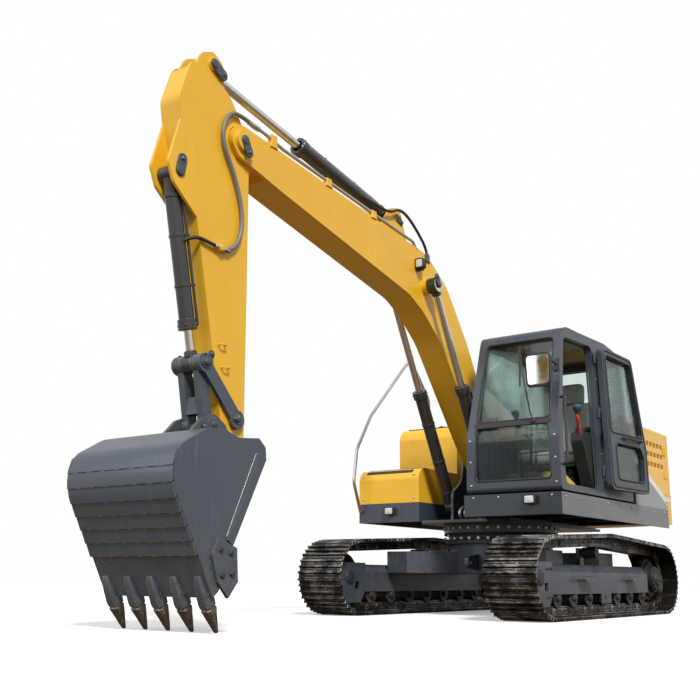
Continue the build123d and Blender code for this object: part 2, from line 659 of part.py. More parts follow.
def strap(p, q, rp, rq, y0, y1):
    # A flat link with round ends.
    d = math.degrees(math.atan2(q[1] - p[1], q[0] - p[0]))
    waist = min(rp, rq) * 0.72
    outline = [polar(p, waist, d + 90), polar(p, waist, d - 90), polar(q, waist, d - 90), polar(q, waist, d + 90)]
    return prism_y(outline, y0, y1) + drum_y(*p, rp, y0, y1) + drum_y(*q, rq, y0, y1)


links = []
for s in (-1, 1):
    a = BOOM_Y + s * LINK_IN
    b = BOOM_Y + s * (LINK_IN + LINK_T)
    side = strap(PIN_S, PIN_U, 68, 68, min(a, b), max(a, b))
    links.append(side - drum_y(*PIN_S, 30 + PIN_PLAY, min(a, b) - 1, max(a, b) + 1))
ROD_GAP = 46.0
CHEEK_OUT = LINK_IN - 4.0
for i, sign in enumerate((-1, 1)):
    a = BOOM_Y + sign * (LINK_IN + LINK_T)
    links[i] = links[i] + drum_y(*PIN_U, 40, a, a + sign * 12)
keep("guide_links", *links)
hlink = None
for s in (-1, 1):
    a = BOOM_Y + s * ROD_GAP
    b = BOOM_Y + s * CHEEK_OUT
    cheek = strap(PIN_U, PIN_K, 66, 62, min(a, b), max(a, b))
    hlink = cheek if hlink is None else hlink + cheek
mid = along(PIN_U, PIN_K, 300)
hlink = hlink + prism_y([(mid[0] - 40, mid[1] - 60), (mid[0] + 40, mid[1] - 60), (mid[0] + 40, mid[1] + 60), (mid[0] - 40, mid[1] + 60)],
                        BOOM_Y - ROD_GAP - 10, BOOM_Y + ROD_GAP + 10)
hlink = hlink - drum_y(*PIN_K, LINK_PIN_R + PIN_PLAY, -400, 400)
keep("bucket_link", hlink)

# Bucket: side plates, a bent shell between them, a thick lip with teeth
BUCKET_HALF = 500.0
SHELL_T = 18.0
SIDE_T = 22.0
LIP_T = 32.0
LIP_L = 150.0
LIP_END = (4765.0, 222.0)
LIP_DIR = (0.4728, 0.8812)
WRAP = [
    LIP_END, (4890, 455), (5128, 872, 120), (5150, 985, 120), (5120, 1140, 140), (4850, 1290, 200), (4694, 1286, 100),
    (4569, 1250, 100), (4370, 1270),
]
MOUTH = [(4300, 1215, 30), (4290, 1130, 40), (4470, 790, 600), (4600, 540, 400), (4715, 260, 20)]


def lip_point(a, b):
    # a runs up the lip from its edge, b runs into the bucket.
    x = LIP_END[0] + LIP_DIR[0] * a - LIP_DIR[1] * b
    z = LIP_END[1] + LIP_DIR[1] * a + LIP_DIR[0] * b
    return (x, z)


def strip(points, thick):
    # Bent plate: an open path and its copy moved to the left by its thickness.
    inner = []
    n = len(points)
    for i in range(n):
        b = points[i]
        a = points[max(i - 1, 0)]
        c = points[min(i + 1, n - 1)]
        d1 = Vector(b[0] - a[0], b[1] - a[1]) if i > 0 else Vector(c[0] - b[0], c[1] - b[1])
        d2 = Vector(c[0] - b[0], c[1] - b[1]) if i < n - 1 else d1
        n1 = Vector(-d1.Y, d1.X).normalized()
        n2 = Vector(-d2.Y, d2.X).normalized()
        k = thick / (1 + n1.dot(n2))
        r = b[2] if len(b) > 2 else 0.0
        turn = d1.X * d2.Y - d1.Y * d2.X
        if r > 0:
            r = r - thick if turn > 0 else r + thick
        inner.append((b[0] + (n1.X + n2.X) * k, b[1] + (n1.Y + n2.Y) * k, r))
    return list(points) + inner[::-1]


inner_half = BUCKET_HALF - SIDE_T
bucket = prism_y(strip(WRAP, SHELL_T), BOOM_Y - inner_half, BOOM_Y + inner_half)
lip = [lip_point(0, 0), lip_point(LIP_L, 0), lip_point(LIP_L + 20, SHELL_T), lip_point(LIP_L - 10, LIP_T), lip_point(0, LIP_T)]
bucket = bucket + prism_y(lip, BOOM_Y - inner_half, BOOM_Y + inner_half)
EAR_IN = ARM_HALF + 12.0
HINGE_EAR_T = 30.0
for s in (-1, 1):
    a = BOOM_Y + s * inner_half
    b = BOOM_Y + s * BUCKET_HALF
    bucket = bucket + prism_y(WRAP + MOUTH, min(a, b), max(a, b))
    # Stiffener along the mouth edge
    a = BOOM_Y + s * (BUCKET_HALF - 2)
    b = BOOM_Y + s * (BUCKET_HALF + 12)
    edge = [(4302, 1134), (4380, 1165), (4532, 826), (4660, 580), (4606, 546), (4478, 792)]
    bucket = bucket + prism_y(edge, min(a, b), max(a, b))
    a = BOOM_Y + s * EAR_IN
    b = BOOM_Y + s * (EAR_IN + HINGE_EAR_T)
    ear = prism_y([(PIN_H[0] - 95, PIN_H[1] - 20, 50), (PIN_H[0] + 20, PIN_H[1] - 95, 50), (4340, 1150), (4420, 1256), (4700, 1280),
                   (4560, 1420, 60), (PIN_K[0] - 20, PIN_K[1] + 85, 70), (4330, 1400, 60)], min(a, b), max(a, b))
    bucket = bucket + ear
    for p, r in ((PIN_H, 62), (PIN_K, 52)):
        bucket = bucket + drum_y(*p, r, b - s * 2, b + s * 12)
bucket = bucket + drum_y(*PIN_K, LINK_PIN_R, BOOM_Y - EAR_IN - 5, BOOM_Y + EAR_IN + 5)
bucket = bucket + drum_y(*PIN_H, 34, BOOM_Y - EAR_IN - 5, BOOM_Y + EAR_IN + 5)
# Wear strips across the shell
WEAR_AT = (40.0, 130.0, 220.0, 310.0, 400.0)
WEAR_W = 34.0
WEAR_T = 9.0
wear_start = Vector(4890, 455)
wear_dir = Vector(5128 - 4890, 872 - 455).normalized()
wear_out = Vector(wear_dir.Y, -wear_dir.X)
for at in WEAR_AT:
    a = wear_start + wear_dir * at
    b = a + wear_dir * WEAR_W
    corners = [a - wear_out * 3, b - wear_out * 3, b + wear_out * WEAR_T, a + wear_out * WEAR_T]
    bucket = bucket + prism_y([(p.X, p.Y) for p in corners], BOOM_Y - BUCKET_HALF + 8, BOOM_Y + BUCKET_HALF - 8)
keep("bucket", bucket)

TOOTH_COUNT = 5
TOOTH_SPAN = 860.0
TOOTH_HALF = 42.0
TOOTH = [
    (115, 0), (0, 0), (0, LIP_T), (95, LIP_T), (95, LIP_T + 16), (-20, LIP_T + 22), (-204, -52), (-207, -62),
    (-60, -44), (10, -32), (115, -12),
]
teeth = []
for i in range(TOOTH_COUNT):
    y = BOOM_Y - TOOTH_SPAN / 2 + TOOTH_SPAN / (TOOTH_COUNT - 1) * i
    point = prism_y([lip_point(a, b) for a, b in TOOTH], y - TOOTH_HALF, y + TOOTH_HALF)
    teeth.append(point)
keep("bucket_teeth", *teeth)
cutters = []
for s in (-1, 1):
    a = BOOM_Y + s * BUCKET_HALF
    b = BOOM_Y + s * (BUCKET_HALF + 25)
    cutters.append(prism_y([(4763, 595), (4582, 532), (4564, 320), (4649, 218), (4748, 320), (4808, 485)], min(a, b), max(a, b)))
keep("side_cutters", *cutters)

# Cab: side walls lean in, ring of floor, front, roof and rear between them
CAB_PROFILE = [
    (CAB_FRONT_X, CAB_FLOOR_Z, 40), (CAB_FRONT_X + 10, 1640, 300), (CAB_FRONT_X - CAB_RAKE, CAB_TOP_Z - 32, 110), (-90, CAB_TOP_Z, 600),
    (CAB_REAR_X, CAB_TOP_Z - 60, 110), (CAB_REAR_X, CAB_FLOOR_Z, 30),
]
CAB_INNER = inset(CAB_PROFILE, CAB_WALL)
LEFT_PIVOT = Axis((0, HALF_WIDTH, CAB_FLOOR_Z), (1, 0, 0))
RIGHT_PIVOT = Axis((0, CAB_RIGHT_Y, CAB_FLOOR_Z), (1, 0, 0))


def lean_left(shape):
    return shape.rotate(LEFT_PIVOT, CAB_LEAN)


def lean_right(shape):
    return shape.rotate(RIGHT_PIVOT, -CAB_LEAN)


DOOR_OPENING = [(262, 1190, 60), (1112, 1190, 60), (1125, 1640, 250), (945, 2590, 80), (262, 2620, 60)]
DOOR_OUTLINE = inset(DOOR_OPENING, DOOR_GAP)
SIDE_WINDOW = [(-470, 1700, 60), (150, 1700, 60), (150, 2600, 60), (-470, 2560, 90)]
RIGHT_WINDOW = [(-470, 1650, 60), (1085, 1650, 80), (930, 2590, 80), (-470, 2570, 90)]
Y_IN = HALF_WIDTH - CAB_WALL
left_wall = prism_y(CAB_PROFILE, Y_IN, HALF_WIDTH) - prism_y(DOOR_OPENING, Y_IN - 1, HALF_WIDTH + 1)
left_wall = left_wall - prism_y(SIDE_WINDOW, Y_IN - 1, HALF_WIDTH + 1)
right_wall = prism_y(CAB_PROFILE, CAB_RIGHT_Y, CAB_RIGHT_Y + CAB_WALL)
right_wall = right_wall - prism_y(RIGHT_WINDOW, CAB_RIGHT_Y - 1, CAB_RIGHT_Y + CAB_WALL + 1)
ring = prism_y(CAB_PROFILE, 0, 1400) - prism_y(CAB_INNER, -1, 1401)
left_space = lean_left(block(-2000, 3000, Y_IN, Y_IN + 1000, 0, 4000))
right_space = lean_right(block(-2000, 3000, CAB_RIGHT_Y + CAB_WALL - 1000, CAB_RIGHT_Y + CAB_WALL, 0, 4000))
ring = ring - left_space - right_space
CAB_MID_Y = (HALF_WIDTH + CAB_RIGHT_Y) / 2
FRONT_LOW = [(CAB_MID_Y - 385, 1235, 50), (CAB_MID_Y + 385, 1235, 50), (CAB_MID_Y + 375, 1740, 40), (CAB_MID_Y - 375, 1740, 40)]
FRONT_HIGH = [(CAB_MID_Y - 375, 1790, 40), (CAB_MID_Y + 375, 1790, 40), (CAB_MID_Y + 352, 2590, 60), (CAB_MID_Y - 352, 2590, 60)]
REAR_WINDOW = [(CAB_MID_Y - 340, 1800, 60), (CAB_MID_Y + 340, 1800, 60), (CAB_MID_Y + 330, 2560, 60), (CAB_MID_Y - 330, 2560, 60)]
front_zone = prism_y([(700, 1185), (1500, 1185), (1500, 2900), (CAB_FRONT_X - CAB_RAKE - 150, 2900), (CAB_FRONT_X - CAB_RAKE - 150, 2640)], -50, 1450)
floor_zone = block(-2000, 3000, -50, 1450, 1000, 1185) - front_zone
rear_zone = block(-2000, CAB_REAR_X + CAB_WALL, -50, 1450, 1185, 4000)
front = ring & front_zone
floor = ring & floor_zone
roof_zone = block(CAB_REAR_X + CAB_WALL, 3000, -50, 1450, 2000, 4000)
roof_part = (ring & roof_zone) - front_zone
rear = ring & rear_zone
front = front - prism_x(FRONT_LOW, 500, 1600) - prism_x(FRONT_HIGH, 500, 1600)
rear = rear - prism_x(REAR_WINDOW, -800, 0)
knuckles = []
HINGE_X = DOOR_OPENING[0][0] - 4
HINGE_Y = HALF_WIDTH + HINGE_OUT
for z in (1330, 1900, 2450):
    knuckle = drum_z(HINGE_X, HINGE_Y, 13, z, z + 50)
    tab = block(HINGE_X - 40, HINGE_X, HALF_WIDTH - 2, HINGE_Y + 4, z, z + 50)
    left_wall = left_wall + knuckle + tab
keep("cab_left_wall", lean_left(left_wall))
keep("cab_right_wall", lean_right(right_wall))
keep("cab_front", front)
keep("cab_floor", floor)
keep("cab_roof", roof_part)
keep("cab_rear", rear)

# Glass, 6 mm panes set in the openings
def pane(outline):
    return inset(outline, FIT)


MID_T = CAB_WALL / 2
left_pane = lean_left(prism_y(pane(SIDE_WINDOW), Y_IN + MID_T, Y_IN + MID_T + GLASS_T))
right_pane = lean_right(prism_y(pane(RIGHT_WINDOW), CAB_RIGHT_Y + MID_T, CAB_RIGHT_Y + MID_T + GLASS_T))
skin = prism_y(inset(CAB_PROFILE, MID_T), 0, 1400) - prism_y(inset(CAB_PROFILE, MID_T + GLASS_T), -1, 1401)
low_pane = (skin & prism_x(pane(FRONT_LOW), 700, 1600))
high_pane = (skin & prism_x(pane(FRONT_HIGH), 700, 1600))
rear_pane = (skin & prism_x(pane(REAR_WINDOW), -800, 0))
keep("cab_glass", left_pane, right_pane, low_pane, high_pane, rear_pane)

# Door, built shut and swung back round its hinge line
door = prism_y(DOOR_OUTLINE, Y_IN, HALF_WIDTH)
DOOR_UPPER = [(340, 1760, 50), (1045, 1760, 50), (895, 2515, 60), (340, 2540, 50)]
DOOR_LOWER = [(420, 1300, 50), (1000, 1300, 50), (1030, 1560, 60), (960, 1660, 60), (420, 1660, 50)]
door = door - prism_y(DOOR_UPPER, Y_IN - 1, HALF_WIDTH + 1) - prism_y(DOOR_LOWER, Y_IN - 1, HALF_WIDTH + 1)
for z in (1330, 1900, 2450):
    knuckle = drum_z(HINGE_X, HINGE_Y, 13, z + 50.5, z + 100)
    tab = block(HINGE_X, HINGE_X + 60, HALF_WIDTH + 1, HINGE_Y + 4, z + 50.5, z + 100)
    tab = tab + block(HINGE_X + 25, HINGE_X + 60, HALF_WIDTH - 2, HALF_WIDTH + 3, z + 50.5, z + 100)
    door = door + knuckle + tab
door_panes = [
    prism_y(pane(DOOR_UPPER), Y_IN + MID_T, Y_IN + MID_T + GLASS_T),
    prism_y(pane(DOOR_LOWER), Y_IN + MID_T, Y_IN + MID_T + GLASS_T),
]
DOOR_AXIS = Axis((HINGE_X, HINGE_Y, 0), (0, 0, 1))


def swing(shape):
    return lean_left(shape.rotate(DOOR_AXIS, DOOR_OPEN))


keep("cab_door", swing(door))
keep("door_glass", *[swing(p) for p in door_panes])

# Cab interior
SEAT_X = 60.0
SEAT_Y = CAB_MID_Y
INSIDE_Z = CAB_FLOOR_Z + CAB_WALL
seat = block(SEAT_X - 200, SEAT_X + 200, SEAT_Y - 200, SEAT_Y + 200, INSIDE_Z, INSIDE_Z + 260)
seat = seat + prism_y([(SEAT_X - 250, INSIDE_Z + 255), (SEAT_X + 290, INSIDE_Z + 255), (SEAT_X + 300, INSIDE_Z + 400, 60), (SEAT_X - 250, INSIDE_Z + 370, 30)],
                      SEAT_Y - 250, SEAT_Y + 250)
seat = seat + prism_y([(SEAT_X - 240, INSIDE_Z + 340), (SEAT_X - 100, INSIDE_Z + 340), (SEAT_X - 230, INSIDE_Z + 960, 40), (SEAT_X - 340, INSIDE_Z + 960, 40)],
                      SEAT_Y - 240, SEAT_Y + 240)
seat = seat + prism_y([(SEAT_X - 335, INSIDE_Z + 940), (SEAT_X - 235, INSIDE_Z + 940), (SEAT_X - 255, INSIDE_Z + 1180, 40), (SEAT_X - 355, INSIDE_Z + 1180, 40)],
                      SEAT_Y - 130, SEAT_Y + 130)
keep("seat", seat)
consoles = []
for s in (-1, 1):
    y = SEAT_Y + s * 330
    arm_rest = prism_y([(SEAT_X - 200, INSIDE_Z), (SEAT_X + 200, INSIDE_Z), (SEAT_X + 430, INSIDE_Z + 470, 60), (SEAT_X + 420, INSIDE_Z + 560, 40), (SEAT_X - 200, INSIDE_Z + 600, 40)],
                       y - 60, y + 60)
    stick = bar((SEAT_X + 350, y, INSIDE_Z + 540), (SEAT_X + 375, y, INSIDE_Z + 760), 16)
    knob = Pos(SEAT_X + 380, y, INSIDE_Z + 790) * Sphere(38)
    consoles.append(arm_rest + stick + knob)
keep("consoles", *consoles)
pedals = []
for s in (-1, 1):
    y = SEAT_Y + s * 90
    plate = prism_y([(780, INSIDE_Z), (1000, INSIDE_Z), (1000, INSIDE_Z + 130), (985, INSIDE_Z + 135)], y - 60, y + 60)
    lever = bar((930, y, INSIDE_Z + 60), (850, y, INSIDE_Z + 620), 14)
    pedals.append(plate + lever)
keep("travel_pedals", *pedals)
mounts = [drum_z(x, y, 60, DECK_Z, CAB_FLOOR_Z) for x in (-420, 1050) for y in (420, 1110)]
keep("cab_mounts", *mounts)

# Body behind and beside the cab
SHEET = 30.0
keep("engine_block", block(-1500, -900, -520, 400, ENGINE_Z, 1780))
left_door = block(TAIL_X, BAY_X, HALF_WIDTH - SHEET, HALF_WIDTH, DECK_Z, HOOD_Z)
for row in range(3):
    z = HOOD_Z - 150 - row * 110
    for i in range(5):
        x = -1560 + i * 110
        slot = block(x, x + 80, HALF_WIDTH - 10, HALF_WIDTH + 1, z, z + 50)
        left_door = left_door - slot
PANEL_HINGE_R = 11.0
PANEL_HINGE_IN = 14.0
PANEL_HINGE_OUT = 12.0
PANEL_HINGES = ((1200, 1290), (1460, 1550), (1720, 1810))


def panel_hinges(side):
    # Knuckles outside the rear edge of a side door.
    x = TAIL_X + PANEL_HINGE_IN
    y = side * (HALF_WIDTH + PANEL_HINGE_OUT)
    parts = None
    for z0, z1 in PANEL_HINGES:
        part = drum_z(x, y, PANEL_HINGE_R, z0, z1)
        part = part + block(x, x + 50, side * (HALF_WIDTH - 2), y, z0, z1)
        parts = part if parts is None else parts + part
    return parts


keep("left_side_door", left_door + panel_hinges(1))
right_door = block(TAIL_X, -760, -HALF_WIDTH, -HALF_WIDTH + SHEET, DECK_Z, HOOD_Z)
keep("right_side_door", right_door + panel_hinges(-1))
bulkhead = block(BAY_X - 24, BAY_X, -440, HALF_WIDTH - SHEET, DECK_Z, HOOD_Z)
bulkhead = bulkhead + block(BAY_X - 24, BAY_X, -440, CAB_RIGHT_Y - 20, FRAME_TOP, DECK_Z)
keep("bulkhead", bulkhead - frame)
hood = prism_x([(-HALF_WIDTH, HOOD_Z), (HALF_WIDTH, HOOD_Z), (HALF_WIDTH, HOOD_Z + 40, 30), (HALF_WIDTH - 160, HOOD_Z + 85, 80),
                (-HALF_WIDTH + 160, HOOD_Z + 85, 80), (-HALF_WIDTH, HOOD_Z + 40, 30)], TAIL_X, BAY_X)
hood = hood - prism_x([(-HALF_WIDTH + SHEET, HOOD_Z - 1), (HALF_WIDTH - SHEET, HOOD_Z - 1), (HALF_WIDTH - SHEET, HOOD_Z + 20),
                       (HALF_WIDTH - 170, HOOD_Z + 65), (-HALF_WIDTH + 170, HOOD_Z + 65), (-HALF_WIDTH + SHEET, HOOD_Z + 20)], TAIL_X + SHEET, BAY_X - SHEET)
hood_hinge_z = HOOD_Z + 85 + PANEL_HINGE_OUT
for y in (-700, -60, 580):
    hood = hood + drum_y(TAIL_X, hood_hinge_z, PANEL_HINGE_R, y, y + 120)
    hood = hood + block(TAIL_X, TAIL_X + 50, y, y + 120, HOOD_Z + 83, hood_hinge_z)
keep("engine_hood", hood)
TANK_X0 = -640.0
TANK_X1 = 20.0
tank = prism_y([(-760, DECK_Z), (TANK_X1, DECK_Z), (TANK_X1, HOOD_Z + 85, 140), (-640, HOOD_Z + 85), (-640, HOOD_Z), (-760, HOOD_Z)],
               -HALF_WIDTH, RIGHT_IN)
tank = tank - prism_y([(-750, DECK_Z + 12), (TANK_X1 - 12, DECK_Z + 12), (TANK_X1 - 12, HOOD_Z + 73, 128), (-652, HOOD_Z + 73), (-652, HOOD_Z - 12), (-750, HOOD_Z - 12)],
                      -HALF_WIDTH + 12, RIGHT_IN - 12)
keep("tank_housing", tank)
BOX_TOP = 1470.0
tool_box = prism_y([(TANK_X1, DECK_Z), (NOSE_RIGHT_X, DECK_Z), (NOSE_RIGHT_X, BOX_TOP, 120), (TANK_X1, BOX_TOP)], -HALF_WIDTH, RIGHT_IN)
tool_box = tool_box - prism_y([(TANK_X1 + 12, DECK_Z + 12), (NOSE_RIGHT_X - 12, DECK_Z + 12), (NOSE_RIGHT_X - 12, BOX_TOP - 12, 108), (TANK_X1 + 12, BOX_TOP - 12)],
                              -HALF_WIDTH + 12, RIGHT_IN - 12)
keep("tool_box", tool_box)
TAIL_R = 2150.0
CW_Z0 = 960.0
CW_Z1 = HOOD_Z + 30
side_x = -math.sqrt(TAIL_R ** 2 - HALF_WIDTH ** 2)
cw_edges = [
    Line((TAIL_X, -HALF_WIDTH, CW_Z0), (TAIL_X, HALF_WIDTH, CW_Z0)),
    Line((TAIL_X, HALF_WIDTH, CW_Z0), (side_x, HALF_WIDTH, CW_Z0)),
    ThreePointArc((side_x, HALF_WIDTH, CW_Z0), (-TAIL_R, 0, CW_Z0), (side_x, -HALF_WIDTH, CW_Z0)),
    Line((side_x, -HALF_WIDTH, CW_Z0), (TAIL_X, -HALF_WIDTH, CW_Z0)),
]
weight = extrude(Face(Wire(cw_edges)), amount=CW_Z1 - CW_Z0, dir=(0, 0, 1))
weight = weight - block(TAIL_X - 130, TAIL_X + 1, -900, 900, CW_Z0 + 260, CW_Z1 - 120)
LIFT_R = 20.0
LIFT_DEEP = 90.0
for s in (-1, 1):
    weight = weight - drum_z(-1850, s * 600, LIFT_R, CW_Z1 - LIFT_DEEP, CW_Z1 + 1)
keep("counterweight", weight)
keep("exhaust", bar((-800, -800, HOOD_Z + 85), (-800, -800, HOOD_Z + 420), 45))

# Rails, mirror and lamps
rail = pipe([(860, -1200, 1040), (905, -1200, 1330), (-60, -1200, 2830), (-560, -1200, 2420), (-560, -1200, HOOD_Z + 85)], 110, 17)
rail = rail + block(NOSE_RIGHT_X, 862, -1215, -1185, 1030, 1060)
keep("handrail", rail)
MIRROR_Z = 2300.0
MIRROR_X = 1335.0


def front_x(z):
    # Front face of the cab above its knee.
    low = CAB_PROFILE[1]
    high = CAB_PROFILE[2]
    return low[0] + (high[0] - low[0]) * (z - low[1]) / (high[1] - low[1])


foot = [(front_x(MIRROR_Z - 60), MIRROR_Z - 60), (front_x(MIRROR_Z - 60) + 16, MIRROR_Z - 60),
        (front_x(MIRROR_Z + 60) + 16, MIRROR_Z + 60), (front_x(MIRROR_Z + 60), MIRROR_Z + 60)]
mirror_foot = prism_y(foot, 1150, 1185)
mirror_arm = pipe([(front_x(MIRROR_Z) + 8, 1168, MIRROR_Z), (MIRROR_X - 60, 1168, MIRROR_Z + 40), (MIRROR_X + 10, 1130, MIRROR_Z - 60)], 30, 10)
mirror_head = prism_x([(1015, 2050, 40), (1230, 2050, 40), (1240, 2350, 40), (1005, 2350, 40)], MIRROR_X, MIRROR_X + 36)
keep("mirror", mirror_foot + mirror_arm + mirror_head)
lamps = [
    block(NOSE_LEFT_X, NOSE_LEFT_X + 45, 890, 1010, 1010, 1090),
    block(NOSE_RIGHT_X, NOSE_RIGHT_X + 45, -900, -780, 990, 1070),
]
keep("work_lamps", *lamps)
boom_lamp = block(1700, 1790, BOOM_Y + BOOM_HALF, BOOM_Y + BOOM_HALF + 60, 3250, 3340)
keep("boom_lamp", boom_lamp)

os.makedirs("parts", exist_ok=True)
for name, shape in NODES.items():
    export_step(shape, f"parts/{name}.step")
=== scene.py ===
"""Looks for a crawler excavator: finishes, small fittings, camera and studio."""

import json
import logging
import math
from dataclasses import dataclass
from enum import Enum
from typing import Callable, Optional, Sequence

import bmesh
import bpy
from mathutils import Matrix, Vector


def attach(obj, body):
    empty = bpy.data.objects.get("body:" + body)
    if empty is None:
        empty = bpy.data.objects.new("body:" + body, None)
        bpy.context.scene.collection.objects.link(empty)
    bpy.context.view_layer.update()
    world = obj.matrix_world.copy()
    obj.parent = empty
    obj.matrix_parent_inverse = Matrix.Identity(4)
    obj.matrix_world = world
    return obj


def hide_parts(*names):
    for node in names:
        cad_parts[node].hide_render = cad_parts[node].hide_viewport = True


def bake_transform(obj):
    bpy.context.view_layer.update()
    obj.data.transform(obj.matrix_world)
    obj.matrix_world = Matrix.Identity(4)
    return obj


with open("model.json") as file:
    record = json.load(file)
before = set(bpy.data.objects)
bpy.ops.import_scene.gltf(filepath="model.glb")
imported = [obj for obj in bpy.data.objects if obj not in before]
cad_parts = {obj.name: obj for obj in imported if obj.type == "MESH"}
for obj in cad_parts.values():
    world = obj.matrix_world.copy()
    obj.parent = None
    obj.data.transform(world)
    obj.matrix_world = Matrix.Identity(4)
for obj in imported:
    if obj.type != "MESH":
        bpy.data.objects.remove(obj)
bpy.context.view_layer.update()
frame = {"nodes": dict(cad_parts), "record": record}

LOG = logging.getLogger("excavator")
Colour = tuple[float, float, float]
Point = Sequence[float]
Pairs = tuple[tuple[float, float], ...]


class Body(str, Enum):
    """Moving groups of the machine."""

    UNDERCARRIAGE = "undercarriage"
    HOUSE = "house"
    CAB_DOOR = "cab_door"
    LEFT_DOOR = "left_service_door"
    RIGHT_DOOR = "right_service_door"
    HOOD = "hood"
    BOOM = "boom"
    BOOM_BARRELS = "boom_cylinders"
    BOOM_RODS = "boom_rods"
    ARM = "arm"
    ARM_BARREL = "arm_cylinder"
    ARM_ROD = "arm_rod"
    BUCKET = "bucket"
    BUCKET_BARREL = "bucket_cylinder"
    BUCKET_ROD = "bucket_rod"
    GUIDE_LINKS = "guide_links"


class Graph:
    """Adds and links the nodes of one shader tree."""

    def __init__(self, tree: bpy.types.NodeTree) -> None:
        """Keep the tree."""
        self.tree = tree

    def node(self, kind: str, inputs: Optional[dict] = None, **settings) -> bpy.types.Node:
        """Add one node.

        Args:
            kind: node type without the ShaderNode prefix.
            inputs: values or sockets by input name or number.
            settings: properties of the node.

        Returns:
            The new node.
        """
        made = self.tree.nodes.new("ShaderNode" + kind)
        for key, value in settings.items():
            setattr(made, key, value)
        for key, value in (inputs or {}).items():
            self.feed(value, made.inputs[key])
        return made

    def feed(self, value, socket: bpy.types.NodeSocket) -> None:
        """Link a socket to another, or set its value."""
        if isinstance(value, bpy.types.NodeSocket):
            self.tree.links.new(value, socket)
        elif isinstance(value, (tuple, list)) and len(value) == 3 and socket.type == "RGBA":
            socket.default_value = (*value, 1.0)
        else:
            socket.default_value = value

    def feeds(self, shader: bpy.types.Node, **values) -> None:
        """Feed inputs of a shader, with _ for each space in their names."""
        for key, value in values.items():
            self.feed(value, shader.inputs[key.replace("_", " ")])

    def math(self, operation: str, a, b=0.0, clamp: bool = False) -> bpy.types.NodeSocket:
        """Return the result of a Math node on two values or sockets."""
        made = self.node("Math", {0: a, 1: b}, operation=operation, use_clamp=clamp)
        return made.outputs[0]

    def scaled(self, value, factor: float, offset, clamp: bool = False) -> bpy.types.NodeSocket:
        """Return a value times a factor, plus an offset."""
        return self.math("ADD", self.math("MULTIPLY", value, factor), offset, clamp)

    def bump(self, height, strength: float, distance: float, **more) -> bpy.types.NodeSocket:
        """Return the normal of a height."""
        inputs = {"Height": height, "Strength": strength, "Distance": distance, **more}
        return self.node("Bump", inputs).outputs[0]

    def ramp(self, value, low, high) -> bpy.types.NodeSocket:
        """Return a smooth step of a socket from low to high."""
        made = self.node("MapRange", {0: value, 1: low, 2: high, 3: 0.0, 4: 1.0}, interpolation_type="SMOOTHSTEP")
        return made.outputs[0]

    def mix(self, share, a, b) -> bpy.types.NodeSocket:
        """Return a colour mix of a and b."""
        made = self.node("Mix", data_type="RGBA")
        self.feed(share, made.inputs[0])
        self.feed(a, made.inputs[6])
        self.feed(b, made.inputs[7])
        return made.outputs[2]

    def noise(self, vector, scale, detail: float = 3.0, rough: float = 0.55) -> bpy.types.NodeSocket:
        """Return a noise value between 0 and 1."""
        made = self.node("TexNoise", {"Vector": vector, "Scale": scale, "Detail": detail, "Roughness": rough})
        return made.outputs[0]


class Effect(Enum):
    """Shader groups that several finishes share."""

    EDGE_WEAR = "edge_wear"
    DUST_FILM = "dust_film"
    FINE_GRAIN = "fine_grain"
    RUN_STREAKS = "run_streaks"


